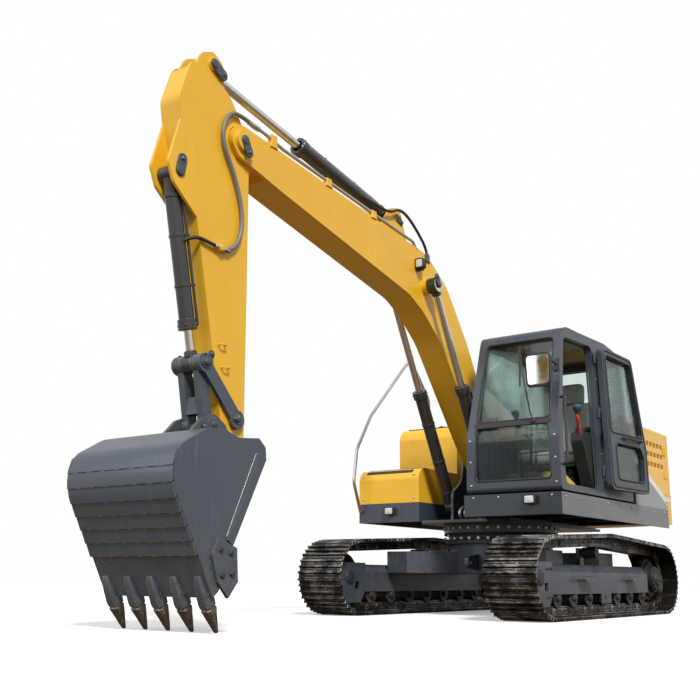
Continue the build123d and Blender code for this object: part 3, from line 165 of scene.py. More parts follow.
class EffectShelf:
    """Builds each shared shader group once."""

    def __init__(self) -> None:
        """Start with an empty shelf."""
        self.made: dict[Effect, bpy.types.NodeTree] = {}

    def get(self, effect: Effect) -> bpy.types.NodeTree:
        """Return the group of an effect, building it the first time."""
        if effect not in self.made:
            self.made[effect] = getattr(self, effect.value)()
        return self.made[effect]

    @staticmethod
    def shell(name: str, inputs: dict[str, float], *outputs: str) -> tuple:
        """Make an empty group with float sockets.

        Args:
            name: name of the group.
            inputs: default of each input, by name.
            outputs: names of the outputs.

        Returns:
            The tree, its graph, its input node and its output node.
        """
        tree = bpy.data.node_groups.new(name, "ShaderNodeTree")
        for label, default in inputs.items():
            made = tree.interface.new_socket(label, in_out="INPUT", socket_type="NodeSocketFloat")
            made.default_value = default
        for label in outputs:
            tree.interface.new_socket(label, in_out="OUTPUT", socket_type="NodeSocketFloat")
        return tree, Graph(tree), tree.nodes.new("NodeGroupInput"), tree.nodes.new("NodeGroupOutput")

    def edge_wear(self) -> bpy.types.NodeTree:
        """Return a mask that is high along worn, exposed edges."""
        tree, graph, start, end = self.shell("edge_wear", {"Radius": 0.01, "Breakup": 14.0, "Amount": 0.5}, "Mask")
        place = graph.node("TexCoord").outputs["Object"]
        bevel = graph.node("Bevel", {"Radius": start.outputs["Radius"]}, samples=4)
        flat = graph.node("NewGeometry").outputs["Normal"]
        turn = graph.node("VectorMath", {0: bevel.outputs[0], 1: flat}, operation="DOT_PRODUCT").outputs["Value"]
        edge = graph.ramp(graph.math("SUBTRACT", 1.0, turn), 0.01, 0.16)
        spots = graph.ramp(graph.noise(place, start.outputs["Breakup"], 5.0, 0.7), 0.42, 0.66)
        worn = graph.math("MULTIPLY", edge, spots)
        worn = graph.math("MULTIPLY", worn, start.outputs["Amount"], clamp=True)
        graph.feed(worn, end.inputs["Mask"])
        return tree

    def dust_film(self) -> bpy.types.NodeTree:
        """Return a mask of dry dust that thickens towards the ground and on upper faces."""
        tree, graph, start, end = self.shell("dust_film", {"Low": 0.0, "High": 1.2, "Amount": 0.4}, "Mask")
        coords = graph.node("TexCoord")
        place = coords.outputs["Object"]
        height = graph.node("SeparateXYZ", {0: place}).outputs[2]
        low = graph.ramp(height, start.outputs["High"], start.outputs["Low"])
        upward = graph.node("SeparateXYZ", {0: coords.outputs["Normal"]}).outputs[2]
        top = graph.math("MULTIPLY", graph.ramp(upward, 0.3, 1.0), 0.55)
        cloud = graph.ramp(graph.noise(place, 5.0, 6.0, 0.65), 0.3, 0.72)
        specks = graph.ramp(graph.noise(place, 60.0, 3.0, 0.7), 0.35, 0.7)
        film = graph.math("MULTIPLY", graph.math("ADD", low, top), graph.math("MULTIPLY", cloud, specks))
        film = graph.math("MULTIPLY", film, start.outputs["Amount"], clamp=True)
        graph.feed(film, end.inputs["Mask"])
        return tree

    def fine_grain(self) -> bpy.types.NodeTree:
        """Return a bump height and a slow variation for sprayed, cast or moulded faces."""
        tree, graph, start, end = self.shell("fine_grain", {"Scale": 300.0, "Coarse": 4.0}, "Height", "Variation")
        place = graph.node("TexCoord").outputs["Object"]
        graph.feed(graph.noise(place, start.outputs["Scale"], 2.0, 0.5), end.inputs["Height"])
        graph.feed(graph.noise(place, start.outputs["Coarse"], 4.0, 0.6), end.inputs["Variation"])
        return tree

    def run_streaks(self) -> bpy.types.NodeTree:
        """Return a mask of thin rain streaks that run down upright faces."""
        tree, graph, start, end = self.shell("run_streaks", {"Amount": 0.3}, "Mask")
        coords = graph.node("TexCoord")
        long = graph.node("Mapping", {"Vector": coords.outputs["Object"], "Scale": (26.0, 26.0, 1.1)}).outputs[0]
        lines = graph.ramp(graph.noise(long, 1.0, 4.0, 0.6), 0.52, 0.75)
        patch = graph.ramp(graph.noise(coords.outputs["Object"], 2.2, 2.0), 0.4, 0.7)
        upward = graph.node("SeparateXYZ", {0: coords.outputs["Normal"]}).outputs[2]
        side = graph.math("SUBTRACT", 1.0, graph.math("ABSOLUTE", upward))
        mask = graph.math("MULTIPLY", graph.math("MULTIPLY", lines, patch), side)
        mask = graph.math("MULTIPLY", mask, start.outputs["Amount"], clamp=True)
        graph.feed(mask, end.inputs["Mask"])
        return tree


EFFECTS = EffectShelf()


def fresh(name: str) -> tuple[bpy.types.Material, Graph, bpy.types.Node]:
    """Make an empty node material.

    Args:
        name: name of the material.

    Returns:
        The material, its graph and its Principled shader.
    """
    material = bpy.data.materials.new(name)
    material.use_nodes = True
    graph = Graph(material.node_tree)
    shader = material.node_tree.nodes["Principled BSDF"]
    return material, graph, shader


def grouped(graph: Graph, effect: Effect, **values: float) -> bpy.types.Node:
    """Place a shared group in a material with its own values.

    Args:
        graph: the material's graph.
        effect: which group.
        values: inputs, with the names in lower case.

    Returns:
        The group node.
    """
    made = graph.node("Group", node_tree=EFFECTS.get(effect))
    for key, value in values.items():
        made.inputs[key.capitalize()].default_value = value
    return made


def mask(graph: Graph, effect: Effect, **values: float) -> bpy.types.NodeSocket:
    """Return the mask of a shared group with a material's own values."""
    return grouped(graph, effect, **values).outputs["Mask"]


@dataclass(frozen=True)
class SprayPaint:
    """Sprayed paint on steel, with worn edges, dust and rain streaks."""

    name: str
    colour: Colour
    bare: Colour = (0.16, 0.14, 0.12)
    dust: Colour = (0.42, 0.36, 0.28)
    roughness: float = 0.34
    coat: float = 0.35
    wear: float = 0.5
    wear_radius: float = 0.008
    dust_amount: float = 0.35
    dust_high: float = 1.0
    streaks: float = 0.25
    peel: float = 0.03
    edge: float = 0.004
    variation: float = 0.12

    def tint(self, graph: Graph) -> bpy.types.NodeSocket:
        """Return the paint's colour with its slow variation."""
        slow = grouped(graph, Effect.FINE_GRAIN, scale=420.0, coarse=1.7).outputs["Variation"]
        deep = tuple(c * (1.0 - self.variation) for c in self.colour)
        return graph.mix(slow, deep, tuple(min(1.0, c * (1.0 + self.variation * 0.6)) for c in self.colour))

    def build(self) -> bpy.types.Material:
        """Return the material."""
        material, graph, shader = fresh(self.name)
        worn = mask(graph, Effect.EDGE_WEAR, radius=self.wear_radius, breakup=18.0, amount=self.wear)
        film = mask(graph, Effect.DUST_FILM, low=0.0, high=self.dust_high, amount=self.dust_amount)
        runs = mask(graph, Effect.RUN_STREAKS, amount=self.streaks)
        grain = grouped(graph, Effect.FINE_GRAIN, scale=420.0, coarse=6.0)
        colour = self.tint(graph)
        colour = graph.mix(runs, colour, tuple(c * 0.55 for c in self.dust))
        colour = graph.mix(worn, colour, self.bare)
        colour = graph.mix(film, colour, self.dust)
        rough = graph.scaled(grain.outputs["Variation"], 0.16, self.roughness - 0.08)
        rough = graph.scaled(film, 0.4, rough)
        rough = graph.scaled(worn, 0.15, rough, clamp=True)
        soft = graph.node("Bevel", {"Radius": self.edge}, samples=4)
        bump = graph.bump(grain.outputs["Height"], self.peel, 0.002, Normal=soft.outputs[0])
        graph.feeds(shader, Base_Color=colour, Roughness=rough, Coat_Weight=self.coat, Coat_Roughness=0.12,
                    Normal=bump)
        return material


@dataclass(frozen=True)
class TwoToneDoorPaint(SprayPaint):
    """Door paint with a grey lower part and a pale slanted band between the two colours."""

    low_colour: Colour = (0.22, 0.23, 0.25)
    band_colour: Colour = (0.72, 0.72, 0.70)
    band_x: float = -1.10
    band_z: float = 1.42
    slope: float = 0.42
    band_half: float = 0.035

    def tint(self, graph: Graph) -> bpy.types.NodeSocket:
        """Return yellow above, the band, and grey below."""
        upper = super().tint(graph)
        place = graph.node("SeparateXYZ", {0: graph.node("TexCoord").outputs["Object"]})
        line = graph.scaled(graph.math("SUBTRACT", place.outputs[0], self.band_x), self.slope, self.band_z)
        over = graph.math("SUBTRACT", place.outputs[2], line)
        lower = graph.ramp(over, self.band_half + 0.003, self.band_half - 0.003)
        deep = graph.ramp(over, -self.band_half + 0.003, -self.band_half - 0.003)
        colour = graph.mix(lower, upper, self.band_colour)
        return graph.mix(deep, colour, self.low_colour)


@dataclass(frozen=True)
class SkirtPaintShadedFront(SprayPaint):
    """Deck paint that is paler on the long side than on the front, where the darker front is a painted shade."""

    front_colour: Colour = (0.016, 0.023, 0.035)

    def tint(self, graph: Graph) -> bpy.types.NodeSocket:
        """Return the side's grey, and the front darkened by painted shade."""
        side = super().tint(graph)
        facing = graph.node("SeparateXYZ", {0: graph.node("TexCoord").outputs["Normal"]})
        # painted shade: faces that point along x, the front, take the darker colour
        ahead = graph.ramp(graph.math("ABSOLUTE", facing.outputs[0]), 0.4, 0.7)
        return graph.mix(ahead, side, self.front_colour)


@dataclass(frozen=True)
class BareMetal:
    """Plated, cast or worn metal."""

    name: str
    colour: Colour
    bright: Colour
    metallic: float = 1.0
    roughness: float = 0.3
    wear: float = 0.6
    wear_radius: float = 0.01
    dust: Colour = (0.30, 0.24, 0.17)
    dust_amount: float = 0.2
    dust_high: float = 1.0
    grain: float = 0.05
    grain_scale: float = 160.0
    edge: float = 0.003
    breakup: float = 30.0

    def build(self) -> bpy.types.Material:
        """Return the material."""
        material, graph, shader = fresh(self.name)
        worn = mask(graph, Effect.EDGE_WEAR, radius=self.wear_radius, breakup=self.breakup, amount=self.wear)
        film = mask(graph, Effect.DUST_FILM, low=0.0, high=self.dust_high, amount=self.dust_amount)
        grain = grouped(graph, Effect.FINE_GRAIN, scale=self.grain_scale, coarse=9.0)
        dull = tuple(c * 0.72 for c in self.colour)
        colour = graph.mix(grain.outputs["Variation"], dull, self.colour)
        colour = graph.mix(worn, colour, self.bright)
        colour = graph.mix(film, colour, self.dust)
        metal = graph.math("SUBTRACT", self.metallic, graph.math("MULTIPLY", film, self.metallic), clamp=True)
        rough = graph.scaled(grain.outputs["Variation"], 0.2, self.roughness - 0.1)
        rough = graph.math("SUBTRACT", rough, graph.math("MULTIPLY", worn, 0.15))
        rough = graph.scaled(film, 0.5, rough, clamp=True)
        soft = graph.node("Bevel", {"Radius": self.edge}, samples=4)
        bump = graph.bump(grain.outputs["Height"], self.grain, 0.003, Normal=soft.outputs[0])
        graph.feeds(shader, Base_Color=colour, Metallic=metal, Roughness=rough, Normal=bump)
        return material


@dataclass(frozen=True)
class TintedGlass:
    """Flat safety glass with a faint tint and a film of dust at the rim."""

    name: str
    colour: Colour = (0.80, 0.90, 0.86)
    clear: float = 0.55

    def build(self) -> bpy.types.Material:
        """Return the material."""
        material, graph, shader = fresh(self.name)
        place = graph.node("TexCoord").outputs["Object"]
        smear = graph.ramp(graph.noise(place, 3.0, 5.0, 0.6), 0.45, 0.8)
        graph.feed(graph.mix(smear, self.colour, tuple(c * 0.93 for c in self.colour)), shader.inputs["Base Color"])
        graph.feed(graph.scaled(smear, 0.05, 0.02), shader.inputs["Roughness"])
        shader.inputs["Transmission Weight"].default_value = 1.0
        shader.inputs["IOR"].default_value = 1.45
        seen = graph.node("LayerWeight", {"Blend": 0.25}).outputs["Fresnel"]
        cover = graph.scaled(seen, 0.5, 1.0 - self.clear, clamp=True)
        cover = graph.scaled(smear, 0.05, cover, clamp=True)
        graph.feed(cover, shader.inputs["Alpha"])
        return material


@dataclass(frozen=True)
class MouldedPlastic:
    """Grained plastic or rubber."""

    name: str
    colour: Colour
    roughness: float = 0.55
    grain: float = 0.15
    grain_scale: float = 500.0
    dust_amount: float = 0.25

    def build(self) -> bpy.types.Material:
        """Return the material."""
        material, graph, shader = fresh(self.name)
        grain = grouped(graph, Effect.FINE_GRAIN, scale=self.grain_scale, coarse=5.0)
        film = mask(graph, Effect.DUST_FILM, low=0.0, high=1.0, amount=self.dust_amount)
        pale = tuple(min(1.0, c * 1.5 + 0.01) for c in self.colour)
        colour = graph.mix(grain.outputs["Variation"], self.colour, pale)
        graph.feed(graph.mix(film, colour, (0.35, 0.31, 0.25)), shader.inputs["Base Color"])
        rough = graph.scaled(grain.outputs["Variation"], 0.2, self.roughness - 0.1, clamp=True)
        graph.feed(rough, shader.inputs["Roughness"])
        bump = graph.bump(grain.outputs["Height"], self.grain, 0.001)
        graph.feed(bump, shader.inputs["Normal"])
        return material


@dataclass(frozen=True)
class WovenCloth:
    """Woven seat cloth."""

    name: str
    colour: Colour
    thread: float = 900.0

    def build(self) -> bpy.types.Material:
        """Return the material."""
        material, graph, shader = fresh(self.name)
        place = graph.node("TexCoord").outputs["Object"]
        waves = []
        for turn in ((0.0, 0.0, 0.0), (0.0, 1.5708, 0.0)):
            turned = graph.node("Mapping", {"Vector": place, "Rotation": turn}).outputs[0]
            wave = graph.node("TexWave", {"Vector": turned, "Scale": self.thread, "Distortion": 0.6},
                              wave_type="BANDS")
            waves.append(wave.outputs["Fac"])
        weave = graph.math("MAXIMUM", waves[0], waves[1])
        slow = grouped(graph, Effect.FINE_GRAIN, scale=200.0, coarse=7.0).outputs["Variation"]
        colour = graph.mix(slow, tuple(c * 0.75 for c in self.colour), self.colour)
        colour = graph.mix(graph.math("MULTIPLY", weave, 0.35), colour, tuple(c * 0.5 for c in self.colour))
        graph.feed(colour, shader.inputs["Base Color"])
        graph.feed(graph.scaled(slow, 0.15, 0.75), shader.inputs["Roughness"])
        shader.inputs["Sheen Weight"].default_value = 0.4
        graph.feed(graph.bump(weave, 0.3, 0.001), shader.inputs["Normal"])
        return material


YELLOW = (0.82, 0.47, 0.02)
SLOT_FINISHES = (
    SprayPaint("yellow_paint", YELLOW, wear=0.3, dust_amount=0.16, dust_high=1.3, roughness=0.38, coat=0.25),
    SprayPaint("dark_paint", (0.038, 0.052, 0.076), roughness=0.42, coat=0.2, wear=0.4, dust_amount=0.25,
               dust_high=1.0),
    SprayPaint("bucket_paint", (0.058, 0.074, 0.100), roughness=0.42, coat=0.1, wear=0.8, wear_radius=0.014,
               dust_amount=0.3, dust_high=0.9, streaks=0.5),
    BareMetal("track_steel", (0.016, 0.016, 0.017), (0.62, 0.60, 0.57), metallic=0.7, roughness=0.4, wear=1.0,
              wear_radius=0.02, dust_amount=0.12, breakup=6.0, dust_high=0.9),
    BareMetal("cast", (0.045, 0.045, 0.048), (0.25, 0.24, 0.23), metallic=0.5, roughness=0.5, wear=0.6,
              dust_amount=0.4, grain=0.2),
    BareMetal("chrome", (0.75, 0.75, 0.74), (0.9, 0.9, 0.9), roughness=0.17, wear=0.1, dust_amount=0.05, grain=0.01),
    TintedGlass("glass", (0.38, 0.66, 0.62), 0.58),
    TintedGlass("lamp", (0.95, 0.95, 0.93), 0.25),
    MouldedPlastic("black_plastic", (0.016, 0.016, 0.017)),
    MouldedPlastic("rubber", (0.012, 0.012, 0.012), roughness=0.6, grain_scale=260.0),
    WovenCloth("seat_fabric", (0.50, 0.50, 0.49)),
    BareMetal("tooth_steel", (0.085, 0.068, 0.052), (0.5, 0.46, 0.42), metallic=0.5, roughness=0.5, wear=1.0,
              wear_radius=0.02, dust_amount=0.35, grain=0.2),
    BareMetal("galvanised", (0.58, 0.58, 0.57), (0.8, 0.8, 0.8), roughness=0.38, wear=0.2, dust_amount=0.1),
)
PIECE_FINISHES = (
    TwoToneDoorPaint("door_paint", YELLOW),
    # skirt paint: its darker front faces are a painted shade on one grey paint
    SkirtPaintShadedFront("skirt_paint", (0.095, 0.10, 0.112), wear=0.4, dust_amount=0.25),
    SprayPaint("barrel_paint", (0.026, 0.028, 0.031), roughness=0.36, wear=0.3, dust_amount=0.15),
    BareMetal("weld_bead", (0.34, 0.33, 0.31), (0.6, 0.58, 0.55), roughness=0.45, grain=0.3),
    MouldedPlastic("lever_red", (0.45, 0.02, 0.015), roughness=0.4),
    BareMetal("mirror_glass", (0.62, 0.66, 0.68), (0.8, 0.8, 0.8), roughness=0.08, wear=0.1, dust_amount=0.1,
              grain=0.01),
    MouldedPlastic("grip_blue", (0.03, 0.10, 0.32), roughness=0.4),
    MouldedPlastic("lens_clear", (0.46, 0.48, 0.48), roughness=0.16, grain=0.3, grain_scale=90.0, dust_amount=0.05),
    MouldedPlastic("hose_sleeve", (0.13, 0.13, 0.125), roughness=0.45, grain=0.5, grain_scale=220.0),
    MouldedPlastic("anti_slip", (0.02, 0.02, 0.02), roughness=0.9, grain=0.8, grain_scale=120.0),
)


def all_finishes() -> dict[str, bpy.types.Material]:
    """Return the materials of the record's slots and of single pieces, by name."""
    return {finish.name: finish.build() for finish in SLOT_FINISHES + PIECE_FINISHES}


def spin(count: int, phase: float = 0.0) -> list[tuple[float, float]]:
    """Return the cosine and sine of evenly spaced angles.

    Args:
        count: angles in a full turn.
        phase: first angle, as a share of one step.

    Returns:
        One pair per angle.
    """
    angles = [2 * math.pi * (k + phase) / count for k in range(count)]
    return [(math.cos(a), math.sin(a)) for a in angles]


def flat(y: float, *rows: tuple[float, float]) -> list[tuple[float, float, float]]:
    """Return points of a side view, all at one place across the machine."""
    return [(x, y, z) for x, z in rows]


def linked(name: str, data: bpy.types.ID) -> bpy.types.Object:
    """Return a new object of some data, linked into the scene."""
    made = bpy.data.objects.new(name, data)
    bpy.context.scene.collection.objects.link(made)
    return made


class Form:
    """A mesh under construction, in metres in the machine's frame."""

    def __init__(self) -> None:
        """Start empty."""
        self.bm = bmesh.new()

    def loft(self, rings: Sequence[Sequence[Point]], cap: bool = True, closed: bool = False) -> None:
        """Skin a row of rings of equal length.

        Args:
            rings: rows of points.
            cap: close both ends with faces.
            closed: join the last ring to the first.
        """
        rows = [[self.bm.verts.new(Vector(p)) for p in ring] for ring in rings]
        pairs = list(zip(rows, rows[1:])) + ([(rows[-1], rows[0])] if closed else [])
        for a, b in pairs:
            n = len(a)
            for i in range(n):
                self.bm.faces.new((a[i], a[(i + 1) % n], b[(i + 1) % n], b[i]))
        if cap and not closed:
            self.bm.faces.new(rows[0][::-1])
            self.bm.faces.new(rows[-1])

    @staticmethod
    def frame_of(axis: Point) -> tuple[Vector, Vector, Vector]:
        """Return two side directions and the unit axis."""
        along = Vector(axis).normalized()
        side = along.orthogonal().normalized()
        return side, along.cross(side), along

    def lathe(self, origin: Point, axis: Point, profile: Pairs, sides: int = 16, hollow: bool = False) -> None:
        """Turn a profile of (radius, height) about an axis.

        Args:
            origin: foot of the axis.
            axis: direction of the axis.
            profile: radius and height of each ring, from foot to tip.
            sides: points per ring.
            hollow: the profile closes on itself, so the ring stays open in the middle.
        """
        u, v, w = self.frame_of(axis)
        rings = [[Vector(origin) + w * height + (u * cos + v * sin) * radius for cos, sin in spin(sides)]
                 for radius, height in profile]
        self.loft(rings, cap=not hollow, closed=hollow)

    def bolt(self, seat: Point, axis: Point, size: float) -> None:
        """Add a hexagon head on its washer.

        Args:
            seat: point on the face under the washer.
            axis: outward direction.
            size: thread diameter.
        """
        self.lathe(seat, axis, ((size * 1.05, 0.0), (size * 1.05, size * 0.16), (size * 0.98, size * 0.2)), 12)
        self.lathe(seat, axis, ((size * 0.86, size * 0.15), (size * 0.86, size * 0.72), (size * 0.74, size * 0.82)),
                   6)

    def tube(self, path: Sequence[Point], radius: float, sides: int = 10, closed: bool = False) -> None:
        """Sweep a round section along a smooth path.

        Args:
            path: points of the path.
            radius: radius of the section.
            sides: points per section.
            closed: the path is a flat loop.
        """
        points = [Vector(p) for p in path]
        ahead = (points[1] - points[0]).normalized()
        side = ahead.orthogonal().normalized()
        rings = []
        for i, p in enumerate(points):
            last = len(points) - 1
            before = points[i - 1] if i > 0 or closed else points[0]
            after = points[(i + 1) % len(points)] if i < last or closed else points[last]
            turn = (after - before).normalized()
            side = (side - turn * side.dot(turn)).normalized()
            up = turn.cross(side)
            rings.append([p + (side * cos + up * sin) * radius for cos, sin in spin(sides)])
        self.loft(rings, closed=closed)

    def slab(self, outline: Sequence[Point], away: Point, bevel: float = 0.0) -> None:
        """Add a plate from a flat outline.

        Args:
            outline: corners in order.
            away: thickness as a vector.
            bevel: rounding of the outer rim.
        """
        low = [Vector(p) for p in outline]
        centre = sum(low, Vector()) / len(low)
        thick = Vector(away)
        if bevel <= 0:
            self.loft([low, [p + thick for p in low]])
            return
        shrunk = [p + (centre - p).normalized() * bevel for p in low]
        rise = thick * max(0.0, 1.0 - bevel / thick.length)
        self.loft([low, [p + rise for p in low], [p + thick for p in shrunk]])

    def crate(self, low: Point, high: Point, bevel: float) -> None:
        """Add a box with bevelled edges between two corners."""
        size = Vector(high) - Vector(low)
        made = bmesh.ops.create_cube(self.bm, size=1.0)["verts"]
        middle = (Vector(high) + Vector(low)) / 2
        bmesh.ops.transform(self.bm, matrix=Matrix.Translation(middle) @ Matrix.Diagonal((*size, 1.0)), verts=made)
        edges = list(dict.fromkeys(e for v in made for e in v.link_edges))
        bmesh.ops.bevel(self.bm, geom=edges, offset=bevel, segments=2, affect="EDGES", profile=0.5)

    def mat(self, corners: Sequence[Point], radius: float, steps: int, thick: float, bevel: float) -> None:
        """Lay a flat mat with rounded corners and a bevelled rim."""
        self.slab(bent(corners, radius, steps, True), (0, 0, thick), bevel)

    def bar(self, corners: Sequence[Point], bend: float, steps: int, radius: float, sides: int) -> None:
        """Add a round bar bent at its corners."""
        self.tube(bent(corners, bend, steps), radius, sides)

    def done(self, name: str, material: bpy.types.Material, body: Body, crease: float = 38.0,
             bridge: Optional[tuple[Body, Point, Point]] = None) -> bpy.types.Object:
        """Turn the form into a piece that rides on a body, or, with a bridge, stays in place on no body.

        Args:
            name: name of the piece.
            material: its finish.
            body: the body that carries it.
            crease: edges sharper than this angle stay sharp.
            bridge: second body, start and end, for a piece between two bodies; only its presence is read, and such a
                piece rides on no body.

        Returns:
            The new object.
        """
        bmesh.ops.recalc_face_normals(self.bm, faces=self.bm.faces[:])
        limit = math.radians(crease)
        for edge in self.bm.edges:
            edge.smooth = edge.calc_face_angle(0.0) < limit
        for face in self.bm.faces:
            face.smooth = True
        mesh = bpy.data.meshes.new(name)
        self.bm.to_mesh(mesh)
        self.bm.free()
        mesh.materials.append(material)
        piece = linked(name, mesh)
        if bridge:
            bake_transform(piece)
        else:
            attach(piece, body.value)
        LOG.info("%s rides on %s, %d faces", name, body.value, len(mesh.polygons))
        return piece


def hose_line(route: Sequence[Point]) -> list[Vector]:
    """Return the points of the smooth line that a route's points pull along.

    Args:
        route: control points of the line.

    Returns:
        Points read from its spline.
    """
    data = bpy.data.curves.new("route", "CURVE")
    data.dimensions = "3D"
    spline = data.splines.new("NURBS")
    spline.points.add(len(route) - 1)
    for knot, p in zip(spline.points, route):
        knot.co = (*p, 1.0)
    spline.order_u = 3
    spline.use_endpoint_u = True
    spline.resolution_u = 8
    holder = bpy.data.objects.new("route", data)
    mesh = bpy.data.meshes.new_from_object(holder)
    line = [v.co.copy() for v in mesh.vertices]
    bpy.data.objects.remove(holder)
    bpy.data.meshes.remove(mesh)
    bpy.data.curves.remove(data)
    return line


def bent(path: Sequence[Point], radius: float, steps: int = 5, closed: bool = False) -> list[Vector]:
    """Return a rigid path with rounded corners.

    Args:
        path: corners of the path.
        radius: bend radius at each corner.
        steps: points per bend.
        closed: the path is a loop.

    Returns:
        Points of the rounded path.
    """
    p = [Vector(q) for q in path]
    n = len(p)
    made = [] if closed else [p[0]]
    for i in range(n) if closed else range(1, n - 1):
        a, b, c = p[i - 1], p[i], p[(i + 1) % n]
        back, ahead = a - b, c - b
        half = back.angle(ahead) / 2
        cut = min(radius / max(math.tan(half), 0.05), 0.45 * back.length, 0.45 * ahead.length)
        start, end = b + back.normalized() * cut, b + ahead.normalized() * cut
        for k in range(steps + 1):
            t = k / steps
            made.append(start * (1 - t) ** 2 + b * (2 * t * (1 - t)) + end * t * t)
    return made if closed else made + [p[-1]]


@dataclass
class CadDress:
    """Gives every CAD node its finish."""

    special: dict[str, str]

    def dress(self, materials: dict[str, bpy.types.Material]) -> None:
        """Assign materials by the record's slots.

        Args:
            materials: finishes by slot name.
        """
        for row in frame["record"]["subparts"]:
            node = frame["nodes"][row["node"]]
            wanted = materials[self.special.get(row["node"], row["material_slot"])]
            node.data.materials.clear()
            node.data.materials.append(wanted)


BOOM_Y = -0.06
PINS = {
    "F": (0.210, 1.520), "G": (0.500, 1.080), "T": (1.600, 3.103), "A": (4.253, 3.603), "B": (2.051, 3.690),
    "R": (4.563, 4.118), "C": (4.846, 3.156), "S": (4.194, 1.453), "U": (4.545, 1.814), "H": (4.185, 1.090),
    "K": (4.460, 1.382),
}


def pin_at(pin: str, y: float) -> Vector:
    """Return the middle of a pin at one place across the machine."""
    return Vector((PINS[pin][0], y, PINS[pin][1]))


@dataclass
class SubAssembly:
    """Small fittings on one part of the machine, in metres."""

    materials: dict[str, bpy.types.Material]

    def put(self, form: Form, name: str, slot: str, body: Body, finish: str = "",
            crease: float = 38.0) -> bpy.types.Object:
        """Finish a form as a piece on a body.

        Args:
            form: the mesh.
            name: name of the piece.
            slot: the record's slot.
            body: the body that carries it.
            finish: another finish than the slot's own.
            crease: edges sharper than this angle stay sharp.

        Returns:
            The new object.
        """
        return form.done(name, self.materials[finish or slot], body, crease)

    def puts(self, body: Body, *rows: tuple) -> None:
        """Finish several forms as pieces on one body.

        Args:
            body: the body that carries them.
            rows: form, name, slot and, where it isn't the slot's own, finish of each piece.
        """
        for form, name, slot, *finish in rows:
            self.put(form, name, slot, body, *finish)

    @staticmethod
    def flag(form: Form, pin: str, y: float, angle: float, length: float, width: float) -> None:
        """Add a pin's end with its keeper plate and bolt, facing away from the boom's middle.

        Args:
            form: the mesh to add to.
            pin: name of the pin.
            y: place of the face it lies on, across the machine.
            angle: direction of the plate in side view, in degrees.
            length: reach of the plate past the pin.
            width: width of the plate.
        """
        side = 1.0 if y > BOOM_Y else -1.0
        turn = math.radians(angle)
        ahead = Vector((math.cos(turn), 0.0, math.sin(turn)))
        across = Vector((-math.sin(turn), 0.0, math.cos(turn)))
        base = pin_at(pin, y)
        r = width / 2
        outline = [base + ahead * (length - r + r * math.cos(a)) + across * (r * math.sin(a))
                   for a in (math.pi * (k / 8 - 0.5) for k in range(9))]
        outline += [base + ahead * (r * math.cos(a)) + across * (r * math.sin(a))
                    for a in (math.pi * (k / 8 + 0.5) for k in range(9))]
        form.slab(outline, (0.0, side * 0.012, 0.0), 0.003)
        form.bolt(base + ahead * (length - r) + Vector((0, side * 0.012, 0)), (0, side, 0), 0.016)
        form.lathe(base, (0, side, 0), ((r * 0.86, 0.0), (r * 0.86, 0.016), (r * 0.7, 0.02), (r * 0.2, 0.021)), 16)

    @staticmethod
    def ring_bead(form: Form, pin: str, y: float, radius: float, thick: float = 0.007) -> None:
        """Lay a weld bead round the boss of a pin."""
        x, z = PINS[pin]
        form.tube([(x + radius * cos, y, z + radius * sin) for cos, sin in spin(28)], thick, 6, closed=True)

    def keepers(self, *rows: tuple[str, float, float, float, float]) -> Form:
        """Put keeper plates on both ends of some pins.

        Args:
            rows: pin, distance from the boom's middle, direction in degrees, reach and width of each plate.

        Returns:
            The mesh of all plates.
        """
        form = Form()
        for s in (-1, 1):
            for pin, off, angle, length, width in rows:
                self.flag(form, pin, BOOM_Y + s * off, angle, length, width)
        return form


